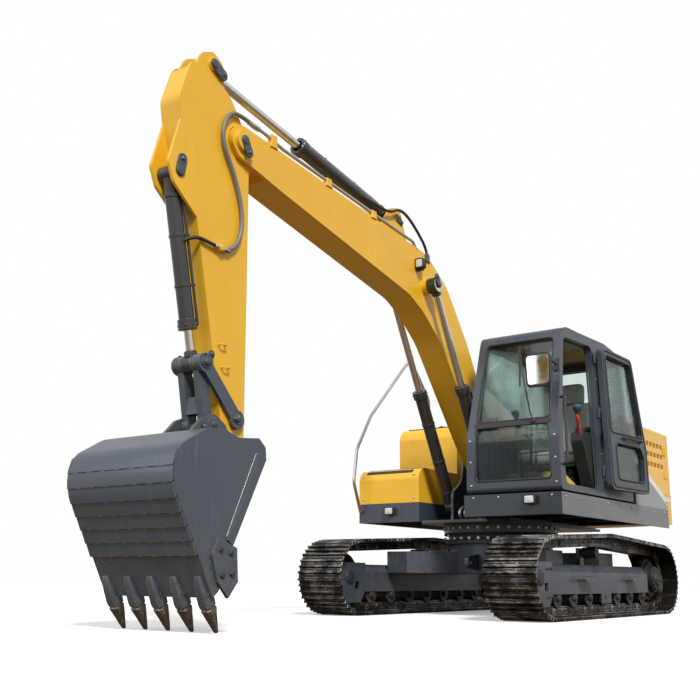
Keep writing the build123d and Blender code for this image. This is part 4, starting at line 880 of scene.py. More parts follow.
@dataclass
class TrackDress(SubAssembly):
    """Chain links, link pins and shoe bolts of the two tracks."""

    idler: tuple[float, float] = (1.482, 0.362)
    sprocket: tuple[float, float] = (-1.460, 0.362)
    carrier: tuple[float, float] = (0.060, 0.608)
    wrap: float = 0.326
    carrier_wrap: float = 0.144
    pitch: float = 0.1715
    half_gauge: float = 1.0
    chain_half: float = 0.075
    link_middle: float = 0.041

    def loop(self) -> list[Vector]:
        """Return the chain's pins in side view, evenly spaced round the wheels."""
        def lean(a: tuple, ra: float, b: tuple, rb: float) -> float:
            """Return the angle of the tangent point shared by two wheels."""
            d = math.hypot(b[0] - a[0], b[1] - a[1])
            way = math.atan2(b[1] - a[1], b[0] - a[0]) % (2 * math.pi)
            return way - math.acos((ra - rb) / d)
        first = lean(self.idler, self.wrap, self.carrier, self.carrier_wrap)
        second = lean(self.carrier, self.carrier_wrap, self.sprocket, self.wrap)
        path = []
        arcs = ((self.idler, self.wrap, -math.pi / 2, first), (self.carrier, self.carrier_wrap, first, second),
                (self.sprocket, self.wrap, second, 1.5 * math.pi))
        for centre, radius, a0, a1 in arcs:
            for k in range(61):
                a = a0 + (a1 - a0) * k / 60
                path.append(Vector((centre[0] + radius * math.cos(a), 0.0, centre[1] + radius * math.sin(a))))
        path.append(path[0])
        steps = [(b - a).length for a, b in zip(path, path[1:])]
        total = sum(steps)
        count = round(total / self.pitch)
        pins, gone, k = [], 0.0, 0
        for i in range(count):
            want = total * i / count
            while gone + steps[k] < want:
                gone += steps[k]
                k += 1
            pins.append(path[k].lerp(path[k + 1], (want - gone) / max(steps[k], 1e-9)))
        return pins

    def build(self) -> None:
        """Build links and bolts for both tracks."""
        pins = self.loop()
        for label, y in (("left", self.half_gauge), ("right", -self.half_gauge)):
            links, bolts = Form(), Form()
            for i, a in enumerate(pins):
                b = pins[(i + 1) % len(pins)]
                run = b - a
                out = Vector((run.z, 0.0, -run.x)).normalized()
                self.link(links, a - out * self.link_middle, b - out * self.link_middle, y, i % 2)
                for share in (0.335, 0.665):
                    for off in (-0.06, 0.06):
                        seat = a + run * share + out * 0.012 + Vector((0.0, y + off, 0.0))
                        bolts.bolt(seat, out, 0.0085)
            self.puts(Body.UNDERCARRIAGE, (links, f"chain_links_{label}", "track_steel"),
                      (bolts, f"shoe_bolts_{label}", "track_steel"))

    def link(self, form: Form, a: Vector, b: Vector, y: float, odd: int) -> None:
        """Add the two side plates of one link with its pin ends.

        Args:
            form: the mesh to add to.
            a: first pin in side view.
            b: next pin.
            y: middle of the chain.
            odd: 1 for the links that overlap on the outside.
        """
        run = (b - a).normalized()
        up = Vector((-run.z, 0.0, run.x))
        long = (b - a).length
        shape = [(-0.020, -0.018), (0.0, -0.027), (0.035, -0.022), (long / 2, -0.018), (long - 0.035, -0.022),
                 (long, -0.027), (long + 0.020, -0.018), (long + 0.020, 0.018), (long, 0.027), (long / 2, 0.023),
                 (0.0, 0.027), (-0.020, 0.018)]
        for s in (-1, 1):
            base = Vector((0.0, y + s * (self.chain_half - 0.004 + 0.005 * odd), 0.0))
            form.slab([a + base + run * u + up * v for u, v in shape], (0.0, s * 0.009, 0.0), 0.002)
            form.lathe(a + Vector((0.0, y + s * self.chain_half, 0.0)), (0, s, 0),
                       ((0.017, 0.0), (0.017, 0.012), (0.013, 0.014)), 10)


@dataclass
class UndercarriageDress(SubAssembly):
    """Hubs, caps, bolts and treads on the track frames and the swing ring."""

    half_gauge: float = 1.0
    axle_z: float = 0.362
    sprocket_x: float = -1.460
    idler_x: float = 1.482
    drive_face: float = 0.112
    drive_cover: Pairs = ((0.118, 0.0), (0.116, 0.014), (0.075, 0.022), (0.070, 0.034), (0.030, 0.038),
                          (0.026, 0.044))
    idler_face: float = 0.123
    rollers: tuple[float, float, int] = (-1.060, 1.080, 7)
    roller_z: float = 0.190
    bracket_face: float = 0.1065
    steps_at: tuple[float, float] = (-0.640, 0.560)
    rings: Pairs = ((0.591, 0.857), (0.586, 0.752))

    def build(self) -> None:
        """Build all fittings of the undercarriage."""
        self.hubs()
        self.ring()

    def hubs(self) -> None:
        """Add final drive covers, idler caps, roller caps and frame bolts."""
        caps, bolts = Form(), Form()
        for s in (1, -1):
            y = s * self.half_gauge
            face = Vector((self.sprocket_x, y + s * self.drive_face, self.axle_z))
            caps.lathe(face, (0, s, 0), self.drive_cover, 28)
            for cos, sin in spin(12):
                at = Vector((self.sprocket_x + 0.100 * cos, y + s * (self.drive_face + 0.015),
                             self.axle_z + 0.100 * sin))
                bolts.bolt(at, (0, s, 0), 0.012)
            for t in (1, -1):
                hub = Vector((self.idler_x, y + t * self.idler_face, self.axle_z))
                caps.lathe(hub, (0, t, 0), ((0.066, 0.0), (0.066, 0.008), (0.050, 0.014), (0.020, 0.016)), 20)
                for cos, sin in spin(4, 0.5):
                    bolts.bolt(hub + Vector((0.05 * cos, t * 0.010, 0.05 * sin)), (0, t, 0), 0.009)
                x0, x1, count = self.rollers
                for i in range(count):
                    x = x0 + (x1 - x0) * i / (count - 1)
                    caps.lathe((x, y + t * self.bracket_face, self.roller_z), (0, t, 0),
                               ((0.034, 0.0), (0.034, 0.010), (0.026, 0.014), (0.010, 0.015)), 16)
            for x in (1.26, 1.33, 1.60):
                for z in (0.20, 0.44):
                    if x < 1.5 or z > 0.3:
                        bolts.bolt((x, y + s * self.idler_face, z), (0, s, 0), 0.014)
            for x in self.steps_at:
                for dx in (-0.11, -0.055, 0.0, 0.055, 0.11):
                    for dy in (0.15, 0.185):
                        caps.lathe((x + dx, y + s * dy, 0.377), (0, 0, 1),
                                   ((0.010, 0.0), (0.008, 0.006), (0.004, 0.008)), 8)
        self.puts(Body.UNDERCARRIAGE, (caps, "hub_caps", "cast"), (bolts, "frame_bolts", "galvanised", "cast"))

    def ring(self) -> None:
        """Add two rows of bolts and the seal of the swing ring."""
        for (radius, z), body, label in zip(self.rings, (Body.HOUSE, Body.UNDERCARRIAGE), ("upper", "lower")):
            bolts = Form()
            for cos, sin in spin(36, 0.5):
                out = Vector((cos, sin, 0.0))
                bolts.bolt(out * radius + Vector((0, 0, z)), out, 0.017)
            self.put(bolts, f"ring_bolts_{label}", "galvanised", body)
        seal = Form()
        seal.tube([(0.587 * cos, 0.587 * sin, 0.797) for cos, sin in spin(64)], 0.008, 6, closed=True)
        self.put(seal, "ring_seal", "rubber", Body.UNDERCARRIAGE)


@dataclass
class BoomDress(SubAssembly):
    """Oil pipes, clamps, pin plates, weld beads and the lamp of the boom."""

    pipe_off: float = 0.129
    pipe_radius: float = 0.015
    clamps_at: tuple[float, ...] = (3.888, 3.157, 2.477)
    pipe_end: tuple[float, float] = (4.110, 3.785)
    top_edge: Pairs = ((1.560, 3.445), (3.809, 3.688))
    bead_run: tuple[float, float] = (1.86, 2.31)
    hooks: Pairs = ((0.985, 2.953), (0.890, 2.830))

    def top(self, x: float) -> float:
        """Return the height of the boom's straight upper edge."""
        (x0, z0), (x1, z1) = self.top_edge
        return z0 + (z1 - z0) * (x - x0) / (x1 - x0)

    def build(self) -> None:
        """Build all fittings of the boom."""
        self.pipes()
        self.plates()
        self.lamp()

    def pipes(self) -> None:
        """Lay one steel pipe on each upper edge, held by three clamps."""
        pipes, clamps, bolts = Form(), Form(), Form()
        for s in (-1, 1):
            y = BOOM_Y + s * self.pipe_off
            way = [(self.pipe_end[0], y, self.pipe_end[1]), (3.990, y, 3.775), (3.760, y, self.top(3.760) + 0.042),
                   (1.790, y, self.top(1.790) + 0.042), (1.735, y, self.top(1.735) - 0.02)]
            pipes.bar(way, 0.08, 6, self.pipe_radius, 12)
            ahead = Vector((0.12, 0.0, 0.01)).normalized()
            pipes.lathe(Vector(way[0]) - ahead * 0.055, ahead, ((0.0225, 0.0), (0.0225, 0.05), (0.019, 0.055)), 6)
            for x in self.clamps_at:
                rise = 0.066 + (0.034 if x > 3.7 else 0.0)
                low = self.top(x) - 0.012
                half = 0.032
                shape = [(x - half - 0.012, low), (x + half + 0.012, low), (x + half, low + rise * 0.6),
                         (x + half, low + rise + 0.008), (x - half, low + rise + 0.008), (x - half, low + rise * 0.6)]
                clamps.slab([(u, y - 0.022, w) for u, w in shape], (0.0, 0.044, 0.0), 0.004)
                for dx in (-0.017, 0.017):
                    bolts.bolt((x + dx, y, low + rise + 0.008), (0, 0, 1), 0.009)
        self.puts(Body.BOOM, (pipes, "boom_pipes", "galvanised"), (clamps, "pipe_clamps", "yellow_paint"),
                  (bolts, "pipe_clamp_bolts", "galvanised"))

    def plates(self) -> None:
        """Add pin keepers and the beads round the bosses."""
        dark = self.keepers(("A", 0.168, -118, 0.14, 0.08), ("B", 0.100, -160, 0.12, 0.056))
        beads = Form()
        for s in (-1, 1):
            self.ring_bead(beads, "A", BOOM_Y + s * 0.141, 0.080)
            self.ring_bead(beads, "T", BOOM_Y + s * 0.141, 0.077)
            x0, x1 = self.bead_run
            run = [x0 + (x1 - x0) * k / 12 for k in range(13)]
            beads.tube([(x, BOOM_Y + s * 0.101, self.top(x) + 0.002) for x in run], 0.008, 6)
        corners = ((1.52, 3.36), (1.60, 3.37), (1.60, 3.44), (1.56, 3.47), (1.52, 3.44))
        dark.slab(flat(BOOM_Y + 0.138, *corners), (0.0, 0.014, 0.0), 0.003)
        out = Vector((-0.79, 0.0, 0.61))
        wide, narrow = Vector((0.02, 0, 0.025)), Vector((0.008, 0, 0.010))
        for x, z in self.hooks:
            spot = Vector((x, BOOM_Y + 0.10, z))
            low, high = spot - out * 0.01, spot + out * 0.05
            beads.slab([low + wide, low - wide, high - narrow, high + narrow], (0, 0.014, 0), 0.002)
        self.puts(Body.BOOM, (dark, "boom_pin_keepers", "dark_paint"), (beads, "boom_weld_beads", "yellow_paint"))
        self.put(self.keepers(("T", 0.294, 60, 0.11, 0.07)), "boom_rod_pin_keepers", "dark_paint", Body.BOOM_RODS)
        foot = self.keepers(("F", 0.188, 150, 0.12, 0.07), ("G", 0.292, 200, 0.10, 0.07))
        self.put(foot, "boom_foot_keepers", "dark_paint", Body.HOUSE)

    def lamp(self) -> None:
        """Build the work lamp on the boom's side in place of its plain block."""
        shell, lens = Form(), Form()
        WorkLamp(Vector((1.745, 0.128, 3.290)), (0.088, 0.100), 0.085).build(shell, lens)
        shell.crate((1.722, 0.078, 3.225), (1.768, 0.150, 3.250), 0.004)
        body = self.put(shell, "boom_lamp_housing", "black_plastic", Body.BOOM)
        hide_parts("boom_lamp")
        self.put(lens, "boom_lamp_lens", "lamp", Body.BOOM, "lens_clear")


@dataclass
class WorkLamp:
    """A square lamp that faces forward: a tapered housing with fins, a bezel and a ribbed lens."""

    centre: Vector
    size: tuple[float, float]
    depth: float

    def ring(self, x: float, scale: float) -> list[Vector]:
        """Return a rounded square at a depth."""
        a, b = self.size[0] / 2 * scale, self.size[1] / 2 * scale
        corner = bent([(x, -a, -b), (x, a, -b), (x, a, b), (x, -a, b)], min(a, b) * 0.35, 4, True)
        return [self.centre + p for p in corner]

    def build(self, shell: Form, lens: Form) -> None:
        """Add the housing and the lens.

        Args:
            shell: mesh of the housing.
            lens: mesh of the lens.
        """
        back, front = -self.depth / 2, self.depth / 2
        housing = ((back, 0.55), (back + 0.01, 0.7), (front - 0.03, 0.95), (front - 0.028, 1.0), (front, 1.0),
                   (front + 0.002, 0.94), (front - 0.008, 0.9))
        shell.loft([self.ring(x, scale) for x, scale in housing])
        for k in range(4):
            x = back + 0.014 + k * 0.011
            shell.loft([self.ring(x, 0.90), self.ring(x + 0.004, 0.90)])
        dome = ((front - 0.007, 0.78), (front + 0.001, 0.74), (front + 0.004, 0.45), (front + 0.005, 0.1))
        lens.loft([self.ring(x, scale) for x, scale in dome])


@dataclass
class ArmDress(SubAssembly):
    """Pin plates, hooks, hose block and beads of the arm and the bucket linkage."""

    hooks: Pairs = ((4.360, 1.976), (4.320, 1.813))
    hook_bend: Pairs = ((-0.03, 0.098), (-0.03, 0.135), (0.03, 0.135), (0.03, 0.098))

    def build(self) -> None:
        """Build all fittings of the arm."""
        dark = self.keepers(("R", 0.118, -150, 0.15, 0.085), ("C", 0.100, 100, 0.14, 0.085),
                            ("S", 0.138, 0.0, 0.05, 0.05))
        beads, yellow = Form(), Form()
        for s in (-1, 1):
            self.ring_bead(beads, "A", BOOM_Y + s * 0.101, 0.128, 0.006)
            self.ring_bead(beads, "H", BOOM_Y + s * 0.101, 0.095, 0.006)
            yellow.crate((4.410, BOOM_Y + s * 0.099 - 0.026 + s * 0.026, 2.668),
                         (4.454, BOOM_Y + s * 0.099 + 0.026 + s * 0.026, 2.716), 0.005)
        for x, z in self.hooks:
            way = [(x + dx, BOOM_Y + off, z) for dx, off in self.hook_bend]
            yellow.bar(way, 0.015, 4, 0.006, 8)
        links = self.keepers(("U", 0.150, 120, 0.10, 0.058))
        bucket = self.keepers(("H", 0.154, -60, 0.12, 0.064), ("K", 0.154, -20, 0.11, 0.06))
        self.puts(Body.ARM, (dark, "arm_pin_keepers", "dark_paint"), (beads, "arm_weld_beads", "yellow_paint"),
                  (yellow, "arm_hose_blocks", "yellow_paint"))
        self.put(links, "guide_link_keepers", "dark_paint", Body.GUIDE_LINKS)
        self.put(bucket, "bucket_pin_keepers", "dark_paint", Body.BUCKET)


@dataclass
class Hoses(SubAssembly):
    """Oil hoses that run between the boom, the arm and the cylinders, left in place on no body."""

    off: float = 0.127
    radius: float = 0.017
    arm_way: Pairs = (
        (4.100, 3.784), (4.230, 3.815), (4.400, 3.800), (4.480, 3.560), (4.300, 3.290), (4.205, 3.020),
        (4.225, 2.820), (4.330, 2.690), (4.412, 2.690))
    # x, distance from the boom's middle, z
    loop_way: tuple[tuple[float, float, float], ...] = (
        (2.520, 0.056, 3.752), (2.470, 0.120, 3.700), (2.330, 0.142, 3.668), (2.180, 0.142, 3.690),
        (2.060, 0.142, 3.760), (1.900, 0.142, 3.735), (1.700, 0.142, 3.610), (1.560, 0.138, 3.500),
        (1.530, 0.132, 3.400))
    # radius and height of each ring of a nut
    boom_nut: Pairs = ((0.022, 0.0), (0.022, 0.045), (0.019, 0.05), (0.019, 0.085))
    arm_nut: Pairs = ((0.022, 0.0), (0.022, 0.04), (0.019, 0.045), (0.019, 0.07))
    short_nut: Pairs = ((0.020, 0.0), (0.020, 0.035), (0.017, 0.04))

    def hose(self, name: str, way: Sequence[Point], radius: float, finish: str, body: Body,
             bridge: tuple[Body, Point, Point]) -> None:
        """Build one hose that runs between two bodies, left in place on neither.

        Args:
            name: name of the piece.
            way: control points of its line.
            radius: radius of the hose.
            finish: name of its finish.
            body: the body of its first end.
            bridge: the other body, and where the bend would start and end; only its presence is read, to keep the
                hose off every body.
        """
        form = Form()
        form.tube(hose_line(way), radius, 12)
        form.done(name, self.materials[finish], body, 60.0, bridge)

    def build(self) -> None:
        """Build every hose and its end nuts."""
        nuts, arm_nuts = Form(), Form()
        for s, label in ((1, "left"), (-1, "right")):
            y = BOOM_Y + s * self.off
            self.hose(f"arm_hose_{label}", flat(y, *self.arm_way), self.radius, "hose_sleeve", Body.BOOM,
                      (Body.ARM, (4.30, y, 3.78), (4.30, y, 2.80)))
            nuts.lathe((4.095, y, 3.784), (1, 0, 0.12), self.boom_nut, 6)
            arm_nuts.lathe((4.412, y, 2.690), (-1, 0, 0), self.arm_nut, 6)
            way = [(4.450, y, 2.692), (4.560, y, 2.700), (4.660, y - s * 0.01, 2.712), (4.720, y - s * 0.045, 2.690),
                   (4.735, BOOM_Y + s * 0.050, 2.672)]
            self.hose(f"bucket_cylinder_hose_{label}", way, self.radius - 0.003, "rubber", Body.ARM,
                      (Body.BUCKET_BARREL, (4.52, y, 2.70), (4.70, y, 2.69)))
            arm_nuts.lathe((4.452, y, 2.692), (1, 0, 0), self.short_nut, 6)
        way = [(x, BOOM_Y + off, z) for x, off, z in self.loop_way]
        self.hose("arm_cylinder_hose", way, 0.014, "rubber", Body.BOOM,
                  (Body.ARM_BARREL, (1.75, BOOM_Y, 3.6), (2.45, BOOM_Y, 3.72)))
        self.put(nuts, "boom_hose_nuts", "galvanised", Body.BOOM)
        self.put(arm_nuts, "arm_hose_nuts", "galvanised", Body.ARM)


@dataclass
class Cylinders(SubAssembly):
    """Gland rings, port blocks and steel pipes of the hydraulic cylinders."""

    boom_off: float = 0.244
    neck: Pairs = ((0.036, 0.0), (0.050, 0.004), (0.046, 0.040), (0.036, 0.048))

    def build(self) -> None:
        """Dress every barrel."""
        pair = tuple((BOOM_Y + s * self.boom_off, (s * 0.6, 0.8)) for s in (-1, 1))
        rows = (
            ("arm_barrel", "pipe", Body.ARM_BARREL, "B", "R", ((BOOM_Y, (0.0, 1.0)),), 1.390, 0.066),
            ("bucket_barrel", "pipe", Body.BUCKET_BARREL, "C", "U", ((BOOM_Y, (0.8, 0.6)),), 1.130, 0.056),
            ("boom_barrel", "pipes", Body.BOOM_BARRELS, "G", "T", pair, 1.268, 0.062),
        )
        for label, piped, body, a, b, places, reach, radius in rows:
            form, pipe = Form(), Form()
            for y, lift in places:
                self.barrel(form, pipe, a, b, y, reach, radius, lift)
            self.put(form, f"{label}_rings", "dark_paint", body, "barrel_paint")
            self.put(pipe, f"{label}_{piped}", "galvanised", body, "barrel_paint")
        self.eyes()

    def eyes(self) -> None:
        """Put dark collars on the eyes of the rods."""
        pair = (BOOM_Y - self.boom_off, BOOM_Y + self.boom_off)
        rows = (("boom_rod_eyes", Body.BOOM_RODS, "G", "T", pair, 0.050, 0.072),
                ("arm_rod_eye", Body.ARM_ROD, "B", "R", (BOOM_Y,), 0.066, 0.070),
                ("bucket_rod_eye", Body.BUCKET_ROD, "C", "U", (BOOM_Y,), 0.040, 0.064))
        for label, body, foot, pin, places, half, radius in rows:
            form = Form()
            collar = ((radius - 0.002, 0.002), (radius + 0.003, 0.004), (radius + 0.003, 2 * half - 0.004),
                      (radius - 0.002, 2 * half - 0.002))
            for y in places:
                at = pin_at(pin, y)
                form.lathe(at - Vector((0, half, 0)), (0, 1, 0), collar, 28, True)
                back = (pin_at(foot, 0.0) + Vector((0, y, 0)) - at).normalized()
                form.lathe(at + back * (radius - 0.012), back, self.neck, 24, True)
            self.put(form, label, "dark_paint", body, "barrel_paint")

    def barrel(self, form: Form, pipe: Form, a: str, b: str, y: float, reach: float, radius: float,
               lift: tuple[float, float]) -> None:
        """Dress one barrel.

        Args:
            form: mesh of rings and blocks.
            pipe: mesh of the pipe.
            a: name of the foot pin.
            b: name of the rod's pin.
            y: place of the barrel's axis across the machine.
            reach: distance from the foot pin to the gland.
            radius: outer radius of the barrel.
            lift: direction from the axis to the pipe, along y and upwards.
        """
        p, q = pin_at(a, y), pin_at(b, y)
        u = (q - p).normalized()
        up = Vector((-u.z, 0.0, u.x))
        if up.z < 0:
            up = -up
        out = (Vector((0, 1, 0)) * lift[0] + up * lift[1]).normalized()

        def collar(at: float, rows: Pairs) -> None:
            """Turn a ring on the barrel, from its rise over the barrel and its place along it."""
            form.lathe(p + u * at, u, tuple((radius + rise, along) for rise, along in rows), 28, True)

        collar(reach - 0.070, ((-0.002, -0.012), (0.012, -0.006), (0.0125, 0.066), (0.009, 0.069), (-0.002, 0.069)))
        side = u.cross(out)
        for cos, sin in spin(8):
            ray = out * cos + side * sin
            form.bolt(p + u * (reach - 0.034) + ray * (radius + 0.010), ray, 0.008)
        collar(0.150, ((-0.002, -0.004), (0.007, 0.0), (0.007, 0.024), (-0.002, 0.028)))
        for at in (0.40, 0.72):
            collar(reach * at, ((-0.002, -0.012), (0.005, -0.010), (0.005, 0.010), (-0.002, 0.012)))
            form.bolt(p + u * (reach * at) + out * (radius + 0.028), out, 0.009)
        way = [p + u * 0.185 + out * (radius - 0.005), p + u * 0.185 + out * (radius + 0.017),
               p + u * (reach - 0.035) + out * (radius + 0.017), p + u * (reach - 0.035) + out * (radius + 0.003)]
        pipe.bar(way, 0.02, 4, 0.011, 10)
        for at in (0.185, reach - 0.035):
            pipe.lathe(p + u * at + out * (radius - 0.004), out, ((0.020, 0.0), (0.020, 0.016), (0.016, 0.02)), 6)


@dataclass
class BucketDress(SubAssembly):
    """Wear plates, teeth, bolts and weld beads of the bucket."""

    lip_end: tuple[float, float] = (4.765, 0.222)
    lip_dir: tuple[float, float] = (0.4728, 0.8812)
    tooth_span: float = 0.860
    teeth: int = 5
    back: Pairs = (
        (4.890, 0.455), (5.128, 0.872), (5.150, 0.985), (5.120, 1.140), (4.850, 1.290), (4.694, 1.286))
    plate_half: float = 0.497
    plate_count: int = 7
    plate_start: float = 0.035
    plate_pitch: float = 0.098
    cutter_bolts: Pairs = ((4.640, 0.500), (4.735, 0.520), (4.625, 0.370), (4.715, 0.360))

    def lip(self, a: float, b: float, y: float) -> Vector:
        """Return a point by its place up the lip and into the bucket."""
        u, w = self.lip_dir
        return Vector((self.lip_end[0] + u * a - w * b, y, self.lip_end[1] + w * a + u * b))

    def plates(self, beads: Form) -> None:
        """Lay overlapping wear plates on the back, with weld dashes on their lower edges.

        Args:
            beads: mesh of the welds.
        """
        back = bent([(x, 0.0, z) for x, z in self.back], 0.30, 10)
        steps = [(b - a).length for a, b in zip(back, back[1:])]

        def spot(run: float) -> tuple[Vector, Vector]:
            """Return the point at a distance along the back, and its outward direction."""
            gone = 0.0
            for a, b, step in zip(back, back[1:], steps):
                if gone + step >= run:
                    way = (b - a).normalized()
                    return a.lerp(b, (run - gone) / step), Vector((way.z, 0.0, -way.x))
                gone += step
            way = (back[-1] - back[-2]).normalized()
            return back[-1], Vector((way.z, 0.0, -way.x))

        shingles = Form()
        for row in range(self.plate_count):
            start = self.plate_start + row * self.plate_pitch
            section = [(start, 0.019), (start + 0.05, 0.016), (start + 0.09, 0.013),
                       (start + self.plate_pitch + 0.012, 0.0105), (start + self.plate_pitch + 0.012, -0.004),
                       (start + 0.05, -0.004), (start, -0.004)]
            outline = []
            for run, rise in section:
                point, out = spot(run)
                outline.append(point + out * rise + Vector((0.0, BOOM_Y - self.plate_half, 0.0)))
            shingles.slab(outline, (0.0, 2 * self.plate_half, 0.0), 0.002)
            point, out = spot(start - 0.003)
            for k in range(7):
                y = BOOM_Y - 0.44 + 0.135 * k + 0.03 * (row % 2)
                low = point + out * 0.012 + Vector((0, y, 0))
                beads.tube((low, low + Vector((0, 0.025, 0)), low + Vector((0, 0.05, 0))), 0.005, 6)
        self.put(shingles, "bucket_wear_plates", "bucket_paint", Body.BUCKET)

    def tooth_row(self) -> list[float]:
        """Return the place of each tooth across the bucket."""
        return [BOOM_Y - self.tooth_span / 2 + self.tooth_span / (self.teeth - 1) * i for i in range(self.teeth)]

    def tooth_set(self) -> None:
        """Build five two-part teeth, a socket and a worn tip, in place of the plain wedges."""
        sockets, tips = Form(), Form()
        # place along the lip, half width, lower and upper face
        socket = ((0.150, 0.026, -0.016, 0.020), (0.120, 0.034, -0.030, 0.034), (0.050, 0.041, -0.036, 0.044),
                  (-0.030, 0.044, -0.042, 0.052), (-0.062, 0.042, -0.038, 0.048))
        tip = ((-0.058, 0.038, -0.034, 0.042), (-0.072, 0.038, -0.032, 0.040), (-0.080, 0.043, -0.038, 0.046),
               (-0.130, 0.038, -0.026, 0.032), (-0.200, 0.028, -0.013, 0.016), (-0.240, 0.019, -0.006, 0.008),
               (-0.246, 0.013, -0.003, 0.005))
        for y in self.tooth_row():
            for form, rows in ((sockets, socket), (tips, tip)):
                rings = []
                for a, half, low, high in rows:
                    cut = half * 0.3
                    corners = ((-half, low + cut), (-half + cut, low), (half - cut, low), (half, low + cut),
                               (half, high - cut), (half - cut, high), (-half + cut, high), (-half, high - cut))
                    rings.append([self.lip(a, b, y + dy) for dy, b in corners])
                form.loft(rings)
        made = self.put(sockets, "tooth_sockets", "bucket_paint", Body.BUCKET)
        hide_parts("bucket_teeth")
        self.put(tips, "tooth_tips", "tooth_steel", Body.BUCKET)

    def build(self) -> None:
        """Build all fittings of the bucket."""
        bolts, beads, pins = Form(), Form(), Form()
        for s in (-1, 1):
            face = BOOM_Y + s * 0.525
            for x, z in self.cutter_bolts:
                bolts.bolt((x, face, z), (0, s, 0), 0.020)
            beads.tube(flat(BOOM_Y + s * 0.5005, (4.395, 1.165), (4.53, 0.88), (4.66, 0.60)), 0.0045, 6)
        self.plates(beads)
        for y in self.tooth_row():
            for s in (-1, 1):
                pins.lathe(self.lip(0.020, 0.012, y + s * 0.042), (0, s, 0),
                           ((0.016, 0.0), (0.016, 0.004), (0.010, 0.006)), 12)
        self.tooth_set()
        self.puts(Body.BUCKET, (bolts, "cutter_bolts", "cast"),
                  (beads, "bucket_weld_beads", "galvanised", "weld_bead"), (pins, "tooth_pins", "tooth_steel"))


